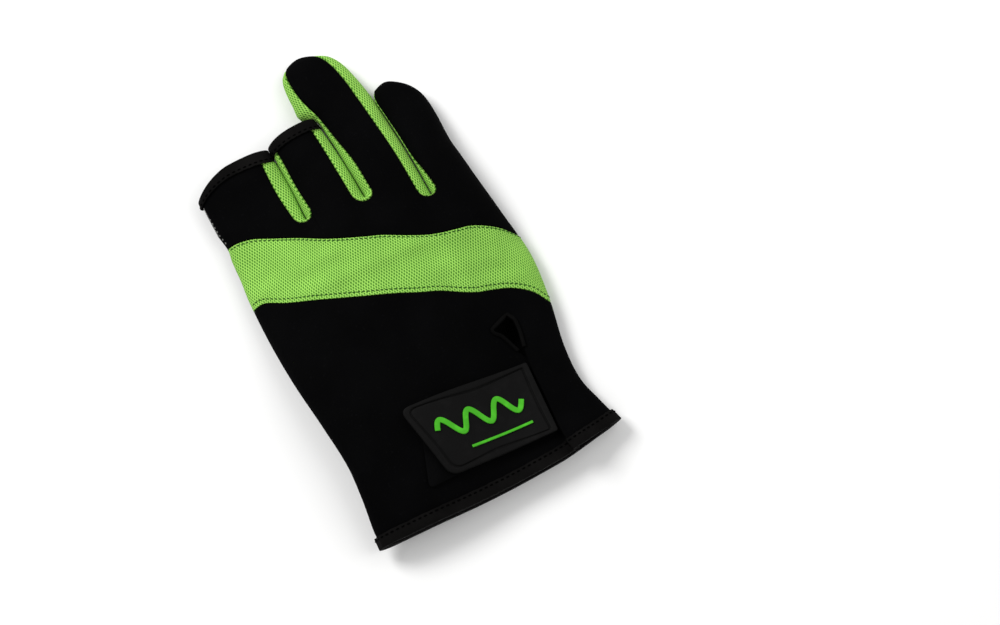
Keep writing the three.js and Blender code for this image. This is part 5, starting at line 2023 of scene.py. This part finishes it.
@dataclass
class Closure:
    """The rubber tab with its rim, groove and plain relief, and the loop patch under it."""

    tab_corners: tuple[tuple[float, float], ...] = (
        (-0.183, 0.112), (0.2425, 0.077), (0.27, 0.305), (-0.2275, 0.358))
    patch_corners: tuple[tuple[float, float], ...] = (
        (-0.274, 0.112), (0.06, 0.102), (0.07, 0.27), (-0.19, 0.28))
    tab_radii: tuple[float, ...] = (4.5, 1.0, 1.0, 4.5)
    patch_radius: float = 3.0
    tab_thickness: float = 2.2
    patch_thickness: float = 1.0
    patch_sewn: float = 0.02
    rim: float = 3.2
    groove: float = 0.8
    groove_half: float = 0.5
    tab_field: float = 0.3
    bevel: float = 0.7
    groove_slope: float = 0.15
    groove_lip: float = 0.08
    ribbon_taper: float = 0.86
    ribbon_round: float = 0.18
    wave_height: float = 8.0
    wave_stroke: float = 2.4
    wave_relief: float = 0.7
    wave_turns: int = 3
    wave_line: tuple[float, float, float] = (0.14, 0.84, 0.57)
    bar_line: tuple[float, float, float] = (0.3, 0.84, 0.24)

    @property
    def patch_low(self) -> float:
        """Return the height above the back that the patch's thickness is counted from."""
        return 2 * FORM.seam

    @property
    def tab_low(self) -> float:
        """Return the height of the tab's underside above the back."""
        return self.patch_low + self.patch_thickness + 1.5 * FORM.seam

    def corners(self, shares: tuple[tuple[float, float], ...]) -> Array:
        """Return corner places in millimetres."""
        return np.array(shares) * np.array([FORM.hand_width, FORM.hand_length])

    def plate(self, rim: Array, rings: Sequence[tuple[float, float]], low: float) -> Surface:
        """Return a plate that follows the back.

        Args:
            rim: its outline seen from above.
            rings: pairs of distance in from the outline and height above the back.
            low: height of its underside.

        Returns:
            Rings from its middle out, then down its edge and back to the middle underneath.
        """
        middle = rim.mean(axis=0)
        reach = np.linalg.norm(rim - middle, axis=-1)
        shares = [np.full(len(rim), s) for s in (0.2, 0.4, 0.6, 0.8)]
        inner = 1 - rings[0][0] / reach
        top = [(inner * s, rings[0][1]) for s in shares] + [(1 - d / reach, h) for d, h in rings]
        under = [(np.ones(len(rim)) - 0.25 / reach, low)] + [(inner * s, low) for s in shares[::-1]]
        loops = []
        for share, height in top + under:
            place = middle + (rim - middle) * share[:, None]
            loops.append(np.column_stack([place, FORM.back_height(*place.T) + height]))
        points = np.stack(loops)
        return swept(points, closed=False)

    def tab(self) -> Surface:
        """Return the tab: a field, a groove with a thin line beside it, a raised rim and a soft edge."""
        top = self.tab_low + self.tab_thickness
        field = top - self.tab_field
        half, slope, lip = self.groove_half, self.groove_slope, self.groove_lip
        rings = [(self.rim + 1.2, field), (self.rim + half + slope, field), (self.rim + half, field - lip),
                 (self.rim + slope, top - self.groove), (self.rim - slope, top - self.groove),
                 (self.rim - half, top - lip), (self.rim - half - slope, top), (1.9, top + 0.06), (1.0, top)]
        turn = np.linspace(0, np.pi / 2, 5)
        rings += [(self.bevel * (1 - math.sin(t)), top - self.bevel * (1 - math.cos(t))) for t in turn]
        rings.append((0.0, self.tab_low + 0.25))
        rim = rounded_loop(self.corners(self.tab_corners), self.tab_radii, 13, 44)
        return self.plate(rim, rings, self.tab_low)

    def patch(self) -> Surface:
        """Return the loop patch."""
        top = self.patch_low + self.patch_thickness
        rim = rounded_loop(self.corners(self.patch_corners), self.patch_radius, 7, 26)
        rings = [(1.0, top), (0.3, top), (0.08, top - 0.1), (0.0, top - 0.3)]
        return self.plate(rim, rings, self.patch_sewn)

    def ribbon(self, s: Array, t: Array, stroke: float) -> Surface:
        """Return a raised ribbon along places given as shares of the tab's two directions.

        Args:
            s: shares along the tab.
            t: shares up the tab.
            stroke: the ribbon's width.

        Returns:
            The ribbon.
        """
        a, b, c, d = self.corners(self.tab_corners)
        path = lerp(lerp(a, b, s[:, None]), lerp(d, c, s[:, None]), t[:, None])
        run = np.gradient(path, axis=0)
        across = unit(np.stack([-run[:, 1], run[:, 0]], axis=-1))
        base = self.tab_low + self.tab_thickness - self.tab_field + 0.5 * FORM.seam
        high = base + self.wave_relief
        foot = stroke / 2
        crest = foot * self.ribbon_taper
        corners = [(-foot, base), (-crest, high), (crest, high), (foot, base)]
        section = rounded_loop(corners, self.ribbon_round)
        place = path[:, None] + across[:, None] * section[None, :, :1]
        height = FORM.back_height(place[..., 0], place[..., 1]) + section[None, :, 1]
        return swept(np.concatenate([place, height[..., None]], axis=-1), closed=False)

    def wave(self) -> Surface:
        """Return the plain wave: a sine along the tab."""
        low, high, at = self.wave_line
        share = np.linspace(0, 1, 160)
        tall = (self.tab_corners[3][1] - self.tab_corners[0][1]) * FORM.hand_length
        t = at + self.wave_height / 2 / tall * np.sin(share * self.wave_turns * 2 * np.pi)
        return self.ribbon(lerp(low, high, share), t, self.wave_stroke)

    def bar(self) -> Surface:
        """Return the bar under the wave."""
        low, high, at = self.bar_line
        share = np.linspace(0, 1, 60)
        return self.ribbon(lerp(low, high, share), np.full(60, at), self.wave_stroke / 2)

    def build(self) -> None:
        """Make and dress the closure's pieces."""
        pieces = (
            ("closure_tab", self.tab(), Finishes.RUBBER, "tab_rubber"),
            ("tab_wave", self.wave(), Finishes.RELIEF, "tab_relief"),
            ("tab_bar", self.bar(), Finishes.RELIEF, "tab_relief"),
            ("loop_patch", self.patch(), Finishes.LOOPS, "loop_patch"),
        )
        for name, surface, finish, slot in pieces:
            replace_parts(surface.make(name + "_form", finish, slot), name)


@dataclass
class Studio:
    """The pale floor, the soft lights and the camera at the photo's angle. Metres and degrees."""

    elevation: float = 78.0
    azimuth: float = -30.5
    distance: float = 1.1
    lens: float = 95.0
    look_at: tuple[float, float] = (33.07, 67.48)
    sensor: float = 36.0
    key: tuple[tuple[float, float, float], float, float] = ((-0.5, 0.85, 1.15), 0.6, 17.0)
    fill: tuple[tuple[float, float, float], float, float] = ((0.9, -0.2, 1.2), 1.2, 7.0)
    sky: float = 0.55
    floor_size: float = 6.0
    floor_colour: tuple[float, float, float] = (0.86, 0.86, 0.855)

    def camera(self) -> None:
        """Place the camera."""
        a, e = math.radians(self.azimuth), math.radians(self.elevation)
        back = Vector((math.sin(a) * math.cos(e), -math.cos(a) * math.cos(e), math.sin(e)))
        right = Vector((math.cos(a), math.sin(a), 0.0))
        up = back.cross(right)
        target = Vector((*self.look_at, 0.0)) * MM + Vector(FORM.origin) * MM
        camera = bpy.data.objects.new("camera", bpy.data.cameras.new("camera"))
        camera.data.lens = self.lens
        camera.data.sensor_width = self.sensor
        camera.data.clip_start = 0.05
        turn = Matrix((right, up, back)).transposed().to_4x4()
        camera.matrix_world = Matrix.Translation(target + back * self.distance) @ turn
        bpy.context.scene.collection.objects.link(camera)
        bpy.context.scene.camera = camera

    def light(self, name: str, place: tuple[float, float, float], size: float, power: float) -> None:
        """Place one square soft light that shines at the glove.

        Args:
            name: its name.
            place: where it is.
            size: its side.
            power: its watts.
        """
        lamp = bpy.data.lights.new(name, "AREA")
        lamp.shape = "SQUARE"
        lamp.size = size
        lamp.energy = power
        light = bpy.data.objects.new(name, lamp)
        light.location = place
        light.rotation_euler = (-Vector(place)).to_track_quat("-Z", "Y").to_euler()
        bpy.context.scene.collection.objects.link(light)

    def build(self) -> None:
        """Make the floor, the lights, the world and the camera."""
        half = self.floor_size / 2
        mesh = bpy.data.meshes.new("floor")
        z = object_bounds()[0][2]
        mesh.from_pydata([(-half, -half, z), (half, -half, z), (half, half, z), (-half, half, z)], [],
                         [(0, 1, 2, 3)])
        floor = bpy.data.objects.new("floor", mesh)
        bpy.context.scene.collection.objects.link(floor)
        shader = Shader("floor")
        mesh.materials.append(shader.finish(Base_Color=(*self.floor_colour, 1.0), Roughness=0.9,
                                            Specular_IOR_Level=0.1))
        floor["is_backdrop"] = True
        self.light("key", *self.key)
        self.light("fill", *self.fill)
        world = bpy.data.worlds.new("studio")
        world.use_nodes = True
        sky = world.node_tree.nodes["Background"]
        sky.inputs["Color"].default_value = (1.0, 1.0, 1.0, 1.0)
        sky.inputs["Strength"].default_value = self.sky
        bpy.context.scene.world = world
        bpy.context.scene.view_settings.view_transform = "Standard"
        self.camera()


def main() -> None:
    """Build every sub-assembly in order."""
    logging.basicConfig(level=logging.INFO, format="%(name)s: %(message)s")
    panels = BackPanels()
    for part, call in (
        ("back panels", panels.build),
        ("palm", PalmPanel().build),
        ("gussets", Gussets().build),
        ("thumb", Thumb().build),
        ("bindings", lambda: Bindings().build(panels)),
        ("closure", Closure().build),
        ("studio", Studio().build),
    ):
        call()
        log.info("built the %s", part)
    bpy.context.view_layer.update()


if __name__ == "__main__":
    main()
